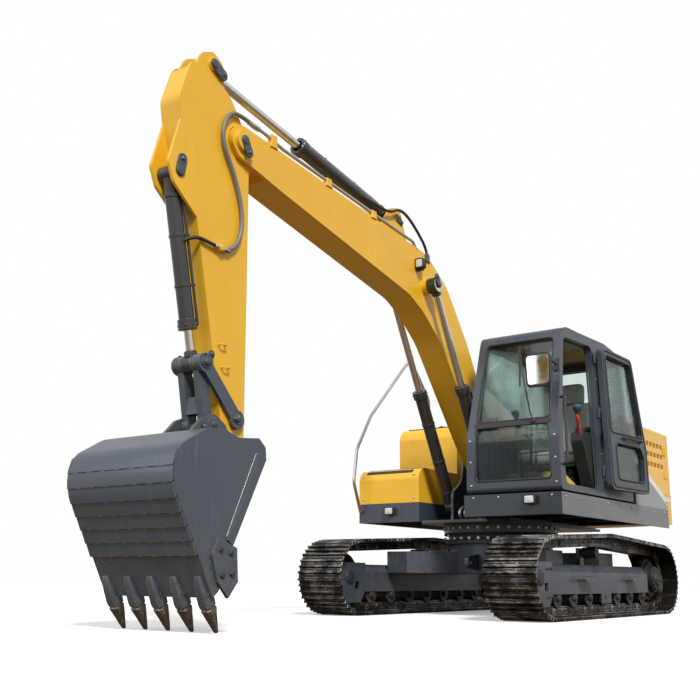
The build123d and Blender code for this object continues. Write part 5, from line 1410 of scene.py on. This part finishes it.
@dataclass
class CabDress(SubAssembly):
    """Window seals, wiper, hatch, lamps, handles and bolts of the cab."""

    lean: float = 1.84
    wall_y: float = 1.245
    inner_y: float = 1.190
    right_y: float = 0.282
    floor_z: float = 1.130
    hinge: tuple[float, float] = (0.258, 1.267)
    open_angle: float = 175.0
    mid_y: float = 0.7635
    foot_x: float = 1.220
    foot_lean: float = 0.010
    foot_rise: float = 0.510
    sill_x: float = 1.230
    sill_z: float = 1.640
    sill_lean: float = 0.285
    sill_rise: float = 1.053
    side_window: Pairs = ((-0.470, 1.700), (0.150, 1.700), (0.150, 2.600), (-0.470, 2.560))
    right_window: Pairs = ((-0.470, 1.650), (1.085, 1.650), (0.930, 2.590), (-0.470, 2.570))
    opening: Pairs = ((0.262, 1.190), (1.112, 1.190), (1.125, 1.640), (0.945, 2.590), (0.262, 2.620))
    door_upper: Pairs = ((0.340, 1.760), (1.045, 1.760), (0.895, 2.515), (0.340, 2.540))
    door_lower: Pairs = ((0.420, 1.300), (1.000, 1.300), (1.030, 1.560), (0.960, 1.660), (0.420, 1.660))

    def leaned(self, point: Point, wall: float, angle: float) -> Vector:
        """Turn a point about the foot of a side wall, by degrees."""
        turn = Matrix.Rotation(math.radians(angle), 3, "X")
        base = Vector((0.0, wall, self.floor_z))
        return turn @ (Vector(point) - base) + base

    def left(self, x: float, y: float, z: float) -> Vector:
        """Lean a point of the left wall inwards."""
        return self.leaned((x, y, z), self.wall_y, self.lean)

    def right(self, x: float, y: float, z: float) -> Vector:
        """Lean a point of the right wall inwards."""
        return self.leaned((x, y, z), self.right_y, -self.lean)

    def door(self, x: float, y: float, z: float) -> Vector:
        """Swing a point of the shut door to where the door stands."""
        turn = Matrix.Rotation(math.radians(self.open_angle), 3, "Z")
        base = Vector((self.hinge[0], self.hinge[1], 0.0))
        return self.left(*(turn @ (Vector((x, y, z)) - base) + base))

    def front_x(self, z: float) -> float:
        """Return the front face of the cab at a height."""
        if z < self.sill_z:
            return self.foot_x + self.foot_lean * (z - self.floor_z) / self.foot_rise
        return self.sill_x - self.sill_lean * (z - self.sill_z) / self.sill_rise

    def build(self) -> None:
        """Build all fittings of the cab."""
        self.seals()
        self.outside()
        self.door_side()

    @staticmethod
    def seal(form: Form, outline: Pairs, corner: float, place: Callable[..., Vector], y: float,
             radius: float) -> None:
        """Lay one rubber seal.

        Args:
            form: the mesh to add to.
            outline: corners of the pane in side view.
            corner: rounding of the corners.
            place: method that puts a point on its wall.
            y: place of the wall's face across the machine.
            radius: radius of the seal.
        """
        loop = bent(flat(0, *outline), corner, 5, True)
        form.tube([place(p.x, y, p.z) for p in loop], radius, 8, True)

    def seals(self) -> None:
        """Lay rubber seals round every pane."""
        house, door = Form(), Form()
        for y in (self.wall_y, self.inner_y):
            self.seal(house, self.side_window, 0.06, self.left, y, 0.010)
        self.seal(house, self.right_window, 0.07, self.right, self.right_y, 0.010)
        for half_low, half_high, z0, z1 in ((0.385, 0.375, 1.235, 1.740), (0.375, 0.352, 1.790, 2.590)):
            corners = [(0, -half_low, z0), (0, half_low, z0), (0, half_high, z1), (0, -half_high, z1)]
            ring = bent(corners, 0.045, 5, True)
            house.tube([(self.front_x(p.z) - 0.002, self.mid_y + p.y, p.z) for p in ring], 0.010, 8, True)
        rear = bent([(0, -0.34, 1.80), (0, 0.34, 1.80), (0, 0.33, 2.56), (0, -0.33, 2.56)], 0.06, 5, True)
        house.tube([(-0.560, self.mid_y + p.y, p.z) for p in rear], 0.010, 8, True)
        self.seal(house, self.opening, 0.07, self.left, self.inner_y - 0.011, 0.009)
        for outline in (self.door_upper, self.door_lower):
            for y in (self.inner_y, self.wall_y):
                self.seal(door, outline, 0.05, self.door, y, 0.009)
        self.put(house, "cab_window_seals", "rubber", Body.HOUSE)
        self.put(door, "door_window_seals", "rubber", Body.CAB_DOOR)

    def outside(self) -> None:
        """Add wiper, roof hatch, gutters, mirror face, grab rail, lamps and bolts."""
        black, bolts, mirror = Form(), Form(), Form()
        foot = Vector((self.front_x(1.765) + 0.004, self.mid_y + 0.22, 1.765))
        tip = Vector((self.front_x(2.42) + 0.020, self.mid_y + 0.02, 2.42))
        black.lathe(foot, (1, 0, 0.2), ((0.024, 0.0), (0.024, 0.018), (0.014, 0.026)), 14)
        black.bar([foot + Vector((0.02, 0, 0)), foot + Vector((0.026, -0.02, 0.08)), tip], 0.05, 4, 0.007, 8)
        blade = [(self.front_x(z) + 0.010, self.mid_y + 0.05 - (z - 2.12) * 0.10, z)
                 for z in (2.12, 2.25, 2.40, 2.52)]
        black.tube(blade, 0.009, 6)
        black.mat([(0.62, 0.46, 2.698), (0.62, 1.07, 2.698), (-0.02, 1.07, 2.717), (-0.02, 0.46, 2.717)], 0.06, 5,
                  0.030, 0.008)
        for s, y in ((1, 1.192), (-1, 0.335)):
            black.bar([(-0.50, y - s * 0.012, 2.672), (-0.05, y - s * 0.014, 2.712), (0.82, y - s * 0.014, 2.700),
                       (0.94, y - s * 0.012, 2.655)], 0.1, 5, 0.010, 8)
        face = bent([(0, 1.022, 2.066), (0, 1.224, 2.066), (0, 1.233, 2.336), (0, 1.012, 2.336)], 0.035, 5, True)
        mirror.slab([(1.334, p.y, p.z) for p in face], (-0.004, 0, 0), 0.002)
        mirror.slab([(1.372, p.y, p.z) for p in face], (0.004, 0, 0), 0.002)
        bar = [Vector((self.front_x(z) - 0.004, self.mid_y - 0.392, z)) for z in (1.742, 1.788)]
        black.slab([bar[0], bar[1], bar[1] + Vector((0.010, 0, 0)), bar[0] + Vector((0.010, 0, 0))], (0, 0.784, 0),
                   0.003)
        rim = bent([(0, 1.012, 2.056), (0, 1.232, 2.056), (0, 1.241, 2.346), (0, 1.004, 2.346)], 0.04, 5, True)
        black.tube([(1.353, p.y, p.z) for p in rim], 0.014, 8, True)
        for z in (1.20, 1.42, 1.62):
            bolts.bolt((self.front_x(z), self.mid_y + 0.430, z), (1, 0, 0), 0.010)
            bolts.bolt((self.front_x(z), self.mid_y - 0.430, z), (1, 0, 0), 0.010)
        for x, z in ((0.205, 1.30), (0.205, 1.55), (-0.53, 1.30), (-0.53, 1.60), (-0.53, 2.30), (0.205, 2.30)):
            bolts.bolt(self.left(x, self.wall_y, z), (0, 1, 0), 0.010)
        for x in (0.0, 0.30, 0.55, 0.72):
            bolts.bolt((x, self.mid_y - 0.28, 2.722 - 0.0309 * (x + 0.09)), (0, 0, 1), 0.012)
        self.puts(Body.HOUSE, (black, "cab_trim", "black_plastic"), (bolts, "cab_bolts", "galvanised"),
                  (mirror, "mirror_face", "chrome", "mirror_glass"))
        rail = Form()
        rail.bar([self.left(1.150, 1.236, 1.36), self.left(1.165, 1.290, 1.36), self.left(1.120, 1.290, 1.98),
                  self.left(1.102, 1.236, 1.98)], 0.04, 5, 0.013, 10)
        self.put(rail, "cab_grab_rail", "black_plastic", Body.HOUSE)
        for label, centre in (("left", Vector((1.262, 0.950, 1.050))), ("right", Vector((0.842, -0.840, 1.030)))):
            shell, lens = Form(), Form()
            WorkLamp(centre, (0.118, 0.082), 0.05).build(shell, lens)
            housing = self.put(shell, f"work_lamp_housing_{label}", "black_plastic", Body.HOUSE)
            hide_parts("work_lamps")
            self.put(lens, f"work_lamp_lens_{label}", "lamp", Body.HOUSE, "lens_clear")

    def door_side(self) -> None:
        """Add handle, latch and inner trim of the open door."""
        black, metal = Form(), Form()
        black.bar([self.door(0.95, 1.188, 1.72), self.door(0.95, 1.150, 1.72), self.door(0.60, 1.150, 1.72),
                   self.door(0.60, 1.188, 1.72)], 0.03, 5, 0.012, 10)
        for x in (0.95, 0.60):
            low = self.door(x, 1.188, 1.72)
            black.lathe(low, self.door(x, 1.15, 1.72) - low, ((0.024, 0.0), (0.024, 0.006), (0.016, 0.010)), 12)
        corner = [self.door(x, 1.249, z) for x, z in ((1.01, 1.66), (1.09, 1.66), (1.09, 1.73), (1.01, 1.73))]
        metal.slab(corner, self.door(1.0, 1.268, 1.7) - self.door(1.0, 1.249, 1.7), 0.004)
        trim = bent([(0.30, 0, 1.225), (1.085, 0, 1.225), (1.10, 0, 1.640), (0.915, 0, 2.560), (0.30, 0, 2.585)],
                    0.07, 5, True)
        black.tube([self.door(p.x, 1.190, p.z) for p in trim], 0.008, 8, True)
        self.puts(Body.CAB_DOOR, (black, "door_handle", "black_plastic"), (metal, "door_latch", "galvanised"))


@dataclass
class Cushion:
    """A crowned pad with rounded sides that pull in between its corners."""

    size: tuple[float, float, float]
    crown: float = 0.03
    cuts: int = 9

    def add(self, form: Form, place: Matrix) -> None:
        """Add the pad to a mesh.

        Args:
            form: the mesh to add to.
            place: where the pad's middle goes, with its crowned face along +Z.
        """
        before = len(form.bm.verts)
        made = bmesh.ops.create_cube(form.bm, size=2.0)["verts"]
        edges = list(dict.fromkeys(e for v in made for e in v.link_edges))
        bmesh.ops.subdivide_edges(form.bm, edges=edges, cuts=self.cuts, use_grid_fill=True)
        form.bm.verts.ensure_lookup_table()
        points = form.bm.verts[before:]
        a, b, c = (s / 2 for s in self.size)
        for v in points:
            x, y, z = v.co
            pull = (abs(x) ** 6 + abs(y) ** 6 + abs(z) ** 4) ** (-1 / 6) if max(abs(x), abs(y), abs(z)) > 0 else 1.0
            x, y, z = x * min(1.0, pull), y * min(1.0, pull), z * min(1.0, pull)
            waist = 1.0 - 0.03 * (1 - y * y) if abs(x) > 0.9 else 1.0
            top = self.crown * (1 - x * x) * (1 - y * y) if z > 0 else 0.0
            seam = -0.010 * math.exp(-((abs(y) - 0.58) / 0.035) ** 2) * (1 - x ** 8) if z > 0.5 else 0.0
            seam -= 0.008 * math.exp(-((x - 0.15) / 0.03) ** 2) * (1 - y ** 8) if z > 0.5 and abs(y) < 0.58 else 0.0
            v.co = place @ Vector((x * a * waist, y * b, z * c + top + seam))


@dataclass
class Interior(SubAssembly):
    """Seat, armrests, sticks, pedals and mat inside the cab."""

    seat_x: float = 0.060
    seat_y: float = 0.7635
    floor_z: float = 1.185
    boot: Pairs = ((0.055, 0.0), (0.045, 0.014), (0.048, 0.020), (0.038, 0.034), (0.041, 0.040), (0.031, 0.054),
                   (0.034, 0.060), (0.024, 0.074))
    grip: Pairs = ((0.020, 0.0), (0.027, 0.03), (0.025, 0.06), (0.033, 0.09), (0.041, 0.105), (0.042, 0.118),
                   (0.038, 0.124))

    def build(self) -> None:
        """Build the seat and the controls."""
        self.seat()
        self.controls()

    def at(self, x: float, y: float, z: float, tip: float = 0.0) -> Matrix:
        """Return a place over the cab floor, tipped back about the cross axis."""
        spot = Vector((self.seat_x + x, self.seat_y + y, self.floor_z + z))
        return Matrix.Translation(spot) @ Matrix.Rotation(math.radians(tip), 4, "Y")

    def spot(self, x: float, y: float, z: float) -> Vector:
        """Return a point over the cab floor."""
        return self.at(x, y, z).translation

    def seat(self) -> None:
        """Build the padded seat on its sprung base."""
        base = Form()
        base.crate(self.spot(-0.20, -0.20, 0.0), self.spot(0.20, 0.20, 0.06), 0.01)
        for k in range(6):
            z = 0.065 + k * 0.03
            inset = 0.012 * (k % 2)
            base.crate(self.spot(-0.18 + inset, -0.18 + inset, z), self.spot(0.18 - inset, 0.18 - inset, z + 0.028),
                       0.009)
        base.crate(self.spot(-0.24, -0.23, 0.245), self.spot(0.27, 0.23, 0.275), 0.01)
        made = self.put(base, "seat_base", "black_plastic", Body.HOUSE)
        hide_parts("seat")
        for name, size, place, fill in (
            ("seat_cushion", (0.54, 0.50, 0.13), self.at(0.02, 0.0, 0.335, -3.0), 0.7),
            ("seat_backrest", (0.62, 0.48, 0.13), self.at(-0.225, 0.0, 0.655, 78.0), 0.7),
            ("seat_headrest", (0.23, 0.26, 0.10), self.at(-0.292, 0.0, 1.065, 84.0), 0.8),
        ):
            pad = Form()
            Cushion(size, 0.028).add(pad, place)
            piece = self.put(pad, name, "seat_fabric", Body.HOUSE, crease=80.0)
            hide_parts("seat")
        piping = Form()
        rims = ((0.262, 0.242, 0.030, self.at(0.02, 0.0, 0.335, -3.0)),
                (0.300, 0.232, 0.030, self.at(-0.225, 0.0, 0.655, 78.0)))
        for half_x, half_y, z, place in rims:
            loop = bent([(-half_x, -half_y, z), (half_x, -half_y, z), (half_x, half_y, z), (-half_x, half_y, z)],
                        0.05, 5, True)
            piping.tube([place @ p for p in loop], 0.006, 6, True)
        for y in (-0.05, 0.05):
            piping.tube([self.spot(-0.285, y, 0.93), self.spot(-0.298, y, 1.0)], 0.008, 8)
        self.put(piping, "seat_piping", "black_plastic", Body.HOUSE)

    def controls(self) -> None:
        """Add boots, grips, lever, armrests, pedal pads, mat, screen and foot rest."""
        black, blue, red, rubber = Form(), Form(), Form(), Form()
        for s in (-1, 1):
            y = s * 0.330
            foot, tip = self.spot(0.345, y, 0.545), self.spot(0.375, y, 0.76)
            axis = (tip - foot).normalized()
            rubber.lathe(foot, axis, self.boot, 18)
            black.lathe(tip - axis * 0.07, axis, self.grip, 16)
            blue.lathe(tip + axis * 0.050, axis, ((0.041, 0.0), (0.042, 0.014), (0.034, 0.024), (0.012, 0.028)), 16)
            Cushion((0.36, 0.115, 0.055), 0.012, 5).add(rubber, self.at(-0.02, y, 0.615))
            for k in range(5):
                low = self.spot(0.735 + k * 0.035, s * 0.09 - 0.052, 0.018 + k * 0.0205)
                rubber.crate(low, low + Vector((0.014, 0.104, 0.012)), 0.004)
        lever = [self.spot(0.25, 0.372, 0.30), self.spot(0.40, 0.372, 0.50), self.spot(0.46, 0.368, 0.66)]
        red.bar(lever, 0.06, 5, 0.011, 10)
        red.lathe(lever[-1], (0.06, 0, 0.16), ((0.011, -0.02), (0.019, 0.0), (0.021, 0.04), (0.014, 0.06)), 12)
        rubber.mat([(0.36, 0.42, 1.185), (1.14, 0.42, 1.185), (1.14, 1.12, 1.185), (0.36, 1.12, 1.185)], 0.05, 4,
                   0.008, 0.004)
        screen = self.spot(0.80, -0.38, 0.62)
        black.crate(screen - Vector((0.02, 0.06, 0.09)), screen + Vector((0.02, 0.06, 0.09)), 0.012)
        black.tube([screen - Vector((0, 0.0, 0.09)), screen - Vector((0.03, 0.01, 0.62))], 0.016, 10)
        self.puts(Body.HOUSE, (black, "stick_grips", "black_plastic"),
                  (blue, "stick_caps", "black_plastic", "grip_blue"),
                  (red, "safety_lever", "black_plastic", "lever_red"), (rubber, "cab_rubber", "rubber"))
        step = Form()
        wedge = [(0.60, 0.93, 1.186), (0.92, 0.93, 1.186), (0.92, 0.93, 1.300), (0.86, 0.93, 1.318),
                 (0.60, 0.93, 1.230)]
        step.slab(wedge, (0.0, 0.18, 0.0), 0.010)
        for k in range(5):
            x = 0.63 + k * 0.05
            step.crate((x, 0.945, 1.236 + 0.338 * (x - 0.60)), (x + 0.016, 1.095, 1.250 + 0.338 * (x - 0.60)), 0.003)
        self.put(step, "foot_rest", "yellow_paint", Body.HOUSE)


@dataclass
class HouseDress(SubAssembly):
    """Louvres, latches, treads, caps and rails of the upper body."""

    half_width: float = 1.245
    hood_z: float = 1.930
    treads: tuple[tuple[float, ...], ...] = (
        (0.70, 0.10, -1.20, -0.54, 1.4705), (-0.08, -0.60, -1.20, -0.56, 2.0155))
    filler: Pairs = ((0.062, 0.0), (0.062, 0.020), (0.055, 0.030), (0.050, 0.036), (0.015, 0.040))
    louvres: tuple[int, int] = (3, 5)
    louvre_x: float = -1.560
    louvre_pitch: float = 0.110
    swivel_way: Pairs = ((0.36, 1.02), (0.48, 1.06), (0.60, 1.06), (0.66, 1.00), (0.62, 0.94), (0.50, 0.92))
    swivel_pitch: float = 0.06
    rail_y: float = -1.200
    rail_way: Pairs = (
        (0.862, 1.040), (0.985, 1.340), (0.930, 1.690), (0.670, 2.085), (-0.150, 2.880), (-0.560, 2.440),
        (-0.560, 2.015))

    def build(self) -> None:
        """Build all fittings of the upper body."""
        self.doors()
        self.handrail()
        self.decks()

    def doors(self) -> None:
        """Add louvre blades, latches, vents and handles."""
        blades, latch = Form(), Form()
        rows, columns = self.louvres
        inner, outer = self.half_width - 0.009, self.half_width + 0.004
        for row in range(rows):
            z = self.hood_z - 0.150 - row * self.louvre_pitch
            for i in range(columns):
                x = self.louvre_x + i * self.louvre_pitch
                for k in range(2):
                    low = z + 0.004 + k * 0.024
                    blades.slab([(x + 0.002, inner, low), (x + 0.078, inner, low), (x + 0.078, outer, low + 0.012),
                                 (x + 0.002, outer, low + 0.012)], (0, 0.001, 0.004))
        self.put(blades, "louvre_blades", "yellow_paint", Body.LEFT_DOOR)
        self.latch(latch, (-0.72, self.half_width, 1.50), 1)
        self.put(latch, "left_door_latch", "black_plastic", Body.LEFT_DOOR)
        other = Form()
        self.latch(other, (-0.84, -self.half_width, 1.50), -1)
        for row in range(4):
            z = 1.72 - row * 0.07
            other.crate((-1.52, -self.half_width - 0.006, z), (-1.00, -self.half_width + 0.004, z + 0.030), 0.004)
        self.put(other, "right_door_vents", "black_plastic", Body.RIGHT_DOOR)
        hood = Form()
        for y in (-0.55, 0.55):
            way = [(-0.74, y - 0.09, 2.008), (-0.74, y - 0.09, 2.055), (-0.74, y + 0.09, 2.055),
                   (-0.74, y + 0.09, 2.008)]
            hood.bar(way, 0.025, 5, 0.010, 10)
        for k in range(7):
            x = -1.46 + k * 0.085
            hood.crate((x, -0.36, 2.010), (x + 0.040, 0.36, 2.021), 0.004)
        self.put(hood, "hood_handles", "black_plastic", Body.HOOD)

    @staticmethod
    def latch(form: Form, place: Point, side: int) -> None:
        """Add a recessed paddle latch on a side door."""
        x, y, z = place
        form.crate((x - 0.055, min(y, y + side * 0.008), z - 0.04), (x + 0.055, max(y, y + side * 0.008), z + 0.04),
                   0.004)
        form.crate((x - 0.040, min(y, y + side * 0.016), z - 0.022), (x + 0.030, max(y, y + side * 0.016), z + 0.022),
                   0.006)
        form.lathe((x + 0.040, y + side * 0.008, z), (0, side, 0), ((0.010, 0.0), (0.010, 0.004), (0.006, 0.006)), 12)

    def handrail(self) -> None:
        """Build the bent tube rail with its foot plates in place of the plain one."""
        rail = Form()
        rail.bar(flat(self.rail_y, *self.rail_way), 0.16, 8, 0.017, 12)
        rail.crate((0.790, self.rail_y - 0.016, 1.026), (0.872, self.rail_y + 0.016, 1.056), 0.004)
        rail.lathe((-0.560, self.rail_y, 2.014), (0, 0, 1), ((0.045, 0.0), (0.045, 0.010), (0.020, 0.014)), 16)
        for k in range(2):
            rail.bolt((0.812 + k * 0.04, self.rail_y - 0.016, 1.041), (0, -1, 0), 0.010)
        made = self.put(rail, "hand_rail", "galvanised", Body.HOUSE)
        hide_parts("handrail")

    def decks(self) -> None:
        """Add treads, caps, panel bolts, the exhaust's tip and the hoses at the boom's foot."""
        tread, cap, bolts, pipe = Form(), Form(), Form(), Form()
        for x0, x1, y0, y1, z in self.treads:
            tread.mat([(x0, y0, z), (x0, y1, z), (x1, y1, z), (x1, y0, z)], 0.03, 4, 0.004, 0.002)
        strip = [(0.695 + 0.1215 * math.cos(a), -1.17, 1.350 + 0.1215 * math.sin(a))
                 for a in (math.radians(36 + 6 * k) for k in range(5))]
        strip += [(0.695 + 0.1185 * math.cos(a), -1.17, 1.350 + 0.1185 * math.sin(a))
                  for a in (math.radians(60 - 6 * k) for k in range(5))]
        tread.slab(strip, (0, 0.58, 0))
        cap.lathe((-0.30, -0.86, 2.019), (0, 0, 1), self.filler, 20)
        cap.crate((-0.345, -0.872, 2.050), (-0.255, -0.848, 2.064), 0.005)
        for k in range(9):
            bolts.bolt((-1.50 + k * 0.33, self.half_width, 1.075), (0, 1, 0), 0.010)
            if k < 7:
                bolts.bolt((-1.50 + k * 0.33, -self.half_width, 1.075), (0, -1, 0), 0.010)
        for y in (0.36, 0.62, 1.15):
            bolts.bolt((1.235, y, 1.085), (1, 0, 0), 0.010)
        for y in (-1.19, -0.56):
            for z in (1.16, 1.40):
                bolts.bolt((0.815, y, z), (1, 0, 0), 0.010)
        for s in (-1, 1):
            bolts.bolt((-2.05, s * 0.55, 1.20), (-1, s * 0.25, 0), 0.028)
            cap.crate((-0.02, -0.872 + s * 0.30 - 0.05, 1.30), (0.024, -0.872 + s * 0.30 + 0.05, 1.36), 0.006)
        cap.crate((0.40, -1.252, 1.30), (0.50, -1.243, 1.36), 0.004)
        pipe.bar([(-0.80, -0.80, 2.30), (-0.80, -0.80, 2.44), (-0.92, -0.80, 2.50)], 0.08, 8, 0.047, 20)
        for z in (2.06, 2.31):
            pipe.lathe((-0.80, -0.80, z), (0, 0, 1), ((0.047, 0.0), (0.052, 0.004), (0.052, 0.024), (0.047, 0.028)),
                       24)
        self.puts(Body.HOUSE, (tread, "deck_treads", "black_plastic", "anti_slip"),
                  (cap, "deck_caps", "black_plastic"), (bolts, "deck_bolts", "galvanised"))
        self.put(pipe, "exhaust_tip", "cast", Body.HOOD)
        hoses = Form()
        for k in range(3):
            y = BOOM_Y + (k - 1) * self.swivel_pitch
            hoses.tube(hose_line(flat(y, *self.swivel_way)), 0.017, 10)
        self.put(hoses, "swivel_hoses", "rubber", Body.HOUSE, "galvanised")


@dataclass
class CounterweightDress(SubAssembly):
    """Lifting eyes, rear cover, reflectors and tow pin of the counterweight."""

    eye_y: float = 0.42
    top_z: float = 1.960
    cover_z: tuple[float, float] = (1.33, 1.72)
    cover_half: float = 0.34
    tow_pin: Pairs = ((0.075, 0.0), (0.075, 0.016), (0.060, 0.022), (0.030, 0.024))

    @staticmethod
    def rear(y: float, z: float, dx: float = 0.0, dz: float = 0.0) -> Vector:
        """Return the point of the rear face at a width and a height, with a shift from it."""
        node = frame["nodes"]["counterweight"]
        back = node.matrix_world.inverted()
        start = back @ Vector((-4.0, y, z))
        ahead = (back.to_3x3() @ Vector((1.0, 0.0, 0.0))).normalized()
        found, spot, _, _ = node.ray_cast(start, ahead)
        return (node.matrix_world @ spot if found else Vector((-2.14, y, z))) + Vector((dx, 0, dz))

    def build(self) -> None:
        """Build all fittings of the counterweight."""
        metal, cover, red = Form(), Form(), Form()
        for s in (-1, 1):
            foot = Vector((-1.85, s * self.eye_y, self.top_z - 0.004))
            loop = [foot + Vector((-0.05, 0, 0)), foot + Vector((-0.05, 0, 0.075)), foot + Vector((0.05, 0, 0.075)),
                    foot + Vector((0.05, 0, 0))]
            metal.bar(loop, 0.045, 6, 0.014, 10)
            for dx in (-0.05, 0.05):
                metal.lathe(foot + Vector((dx, 0, 0.002)), (0, 0, 1), ((0.030, 0.0), (0.030, 0.008), (0.018, 0.014)),
                            14)
            rows = [(s * y, z) for y, z in ((0.74, 1.06), (0.90, 1.06), (0.90, 1.10), (0.74, 1.10))]
            red.slab([self.rear(y, z, 0.006) for y, z in rows], (-0.014, 0.0, 0.0), 0.003)
            for z, inset in zip(self.cover_z, (0.03, -0.03)):
                metal.bolt(self.rear(s * (self.cover_half - 0.04), z + inset, -0.008), (-1, 0, 0), 0.016)
        low, high = self.cover_z
        steps = [self.cover_half * (k / 8 - 1) for k in range(17)]
        rings = [[self.rear(y, low, 0.004), self.rear(y, low, -0.008, 0.004),
                  self.rear(y, high, -0.008, -0.004), self.rear(y, high, 0.004)] for y in steps]
        cover.loft(rings)
        foot = self.rear(0.0, 1.04)
        metal.lathe(foot + Vector((0.01, 0, 0)), (-1, 0, 0), self.tow_pin, 20)
        self.puts(Body.HOUSE, (metal, "counterweight_eyes", "cast"), (cover, "counterweight_cover", "yellow_paint"),
                  (red, "counterweight_reflectors", "lamp", "lever_red"))


@dataclass
class Studio:
    """Pale floor, soft light and the camera."""

    lens: float = 49.78
    eye: Point = (9.3084, 4.7837, 0.3457)
    yaw: float = 35.986
    pitch: float = 13.285
    roll: float = 0.404
    sky: float = 0.42
    sun: float = 3.3
    sun_spread: float = 12.0
    sun_way: Point = (-0.50, -0.62, -0.72)
    fill: float = 0.8
    fill_spread: float = 40.0
    fill_way: Point = (-0.85, 0.25, -0.45)
    floor_radius: float = 60.0

    def camera(self) -> None:
        """Set the camera at the photograph's place."""
        data = bpy.data.cameras.new("camera")
        data.sensor_width = 36.0
        data.lens = self.lens
        data.clip_end = 500.0
        camera = linked("camera", data)
        yaw, pitch, roll = (math.radians(a) for a in (self.yaw, self.pitch, self.roll))
        ahead = Vector((-math.cos(yaw) * math.cos(pitch), -math.sin(yaw) * math.cos(pitch), math.sin(pitch)))
        right = ahead.cross(Vector((0, 0, 1))).normalized()
        up = right.cross(ahead)
        turned = right * math.cos(roll) + up * math.sin(roll)
        upright = up * math.cos(roll) - right * math.sin(roll)
        turn = Matrix((turned, upright, -ahead)).transposed().to_4x4()
        camera.matrix_world = Matrix.Translation(Vector(self.eye)) @ turn
        bpy.context.scene.camera = camera

    def floor(self) -> None:
        """Lay a pale floor that throws little light back."""
        material, graph, shader = fresh("studio_floor")
        place = graph.node("TexCoord").outputs["Object"]
        slow = graph.noise(place, 0.3, 3.0)
        seen = graph.node("LightPath").outputs["Is Camera Ray"]
        pale = graph.mix(slow, (0.86, 0.86, 0.86), (0.90, 0.90, 0.90))
        graph.feed(graph.mix(seen, (0.20, 0.135, 0.085), pale), shader.inputs["Base Color"])
        shader.inputs["Roughness"].default_value = 0.85
        graph.feed(graph.mix(seen, (0.0, 0.0, 0.0), (1.0, 1.0, 1.0)), shader.inputs["Emission Color"])
        shader.inputs["Emission Strength"].default_value = 0.30
        mesh = bpy.data.meshes.new("studio_floor")
        rim = [(self.floor_radius * cos, self.floor_radius * sin, -0.001) for cos, sin in spin(48)]
        mesh.from_pydata(rim, [], [list(range(48))])
        mesh.materials.append(material)
        floor = linked("studio_floor", mesh)

    @staticmethod
    def lamp(name: str, energy: float, spread: float, way: Point, colour: Colour) -> None:
        """Add one sun.

        Args:
            name: name of the lamp.
            energy: its strength.
            spread: its apparent width in degrees.
            way: direction in which its light travels.
            colour: colour of its light.
        """
        data = bpy.data.lights.new(name, "SUN")
        data.energy = energy
        data.angle = math.radians(spread)
        data.color = colour
        lamp = linked(name, data)
        lamp.rotation_euler = Vector(way).to_track_quat("-Z", "Y").to_euler()

    def light(self) -> None:
        """Set the sky, white where the camera sees it, one soft sun and a weak fill."""
        world = bpy.data.worlds.new("studio_sky")
        world.use_nodes = True
        graph = Graph(world.node_tree)
        back = world.node_tree.nodes["Background"]
        back.inputs[0].default_value = (1.0, 1.0, 1.0, 1.0)
        path = graph.node("LightPath")
        seen = graph.scaled(path.outputs["Is Glossy Ray"], 0.7, path.outputs["Is Camera Ray"], clamp=True)
        graph.feed(graph.scaled(seen, 1.0 - self.sky, self.sky), back.inputs[1])
        bpy.context.scene.world = world
        self.lamp("key_light", self.sun, self.sun_spread, self.sun_way, (1.0, 0.97, 0.92))
        self.lamp("fill_light", self.fill, self.fill_spread, self.fill_way, (1.0, 1.0, 1.0))
        bpy.context.scene.view_settings.view_transform = "Standard"

    def build(self) -> None:
        """Set up camera, floor and light."""
        self.camera()
        self.floor()
        self.light()


def main() -> None:
    """Dress the machine and set the studio."""
    logging.basicConfig(level=logging.INFO, format="%(message)s")
    Studio().build()
    materials = all_finishes()
    # the left deck gets the skirt paint, with a painted shade on its front faces
    CadDress({"left_side_door": "door_paint", "left_deck": "skirt_paint", "arm_cylinder_barrel": "barrel_paint",
              "bucket_cylinder_barrel": "barrel_paint", "boom_cylinder_barrels": "barrel_paint"}).dress(materials)
    for part in (TrackDress, UndercarriageDress, BoomDress, ArmDress, Hoses, Cylinders, BucketDress, CabDress,
                 Interior, HouseDress, CounterweightDress):
        part(materials).build()


if __name__ == "__main__":
    main()
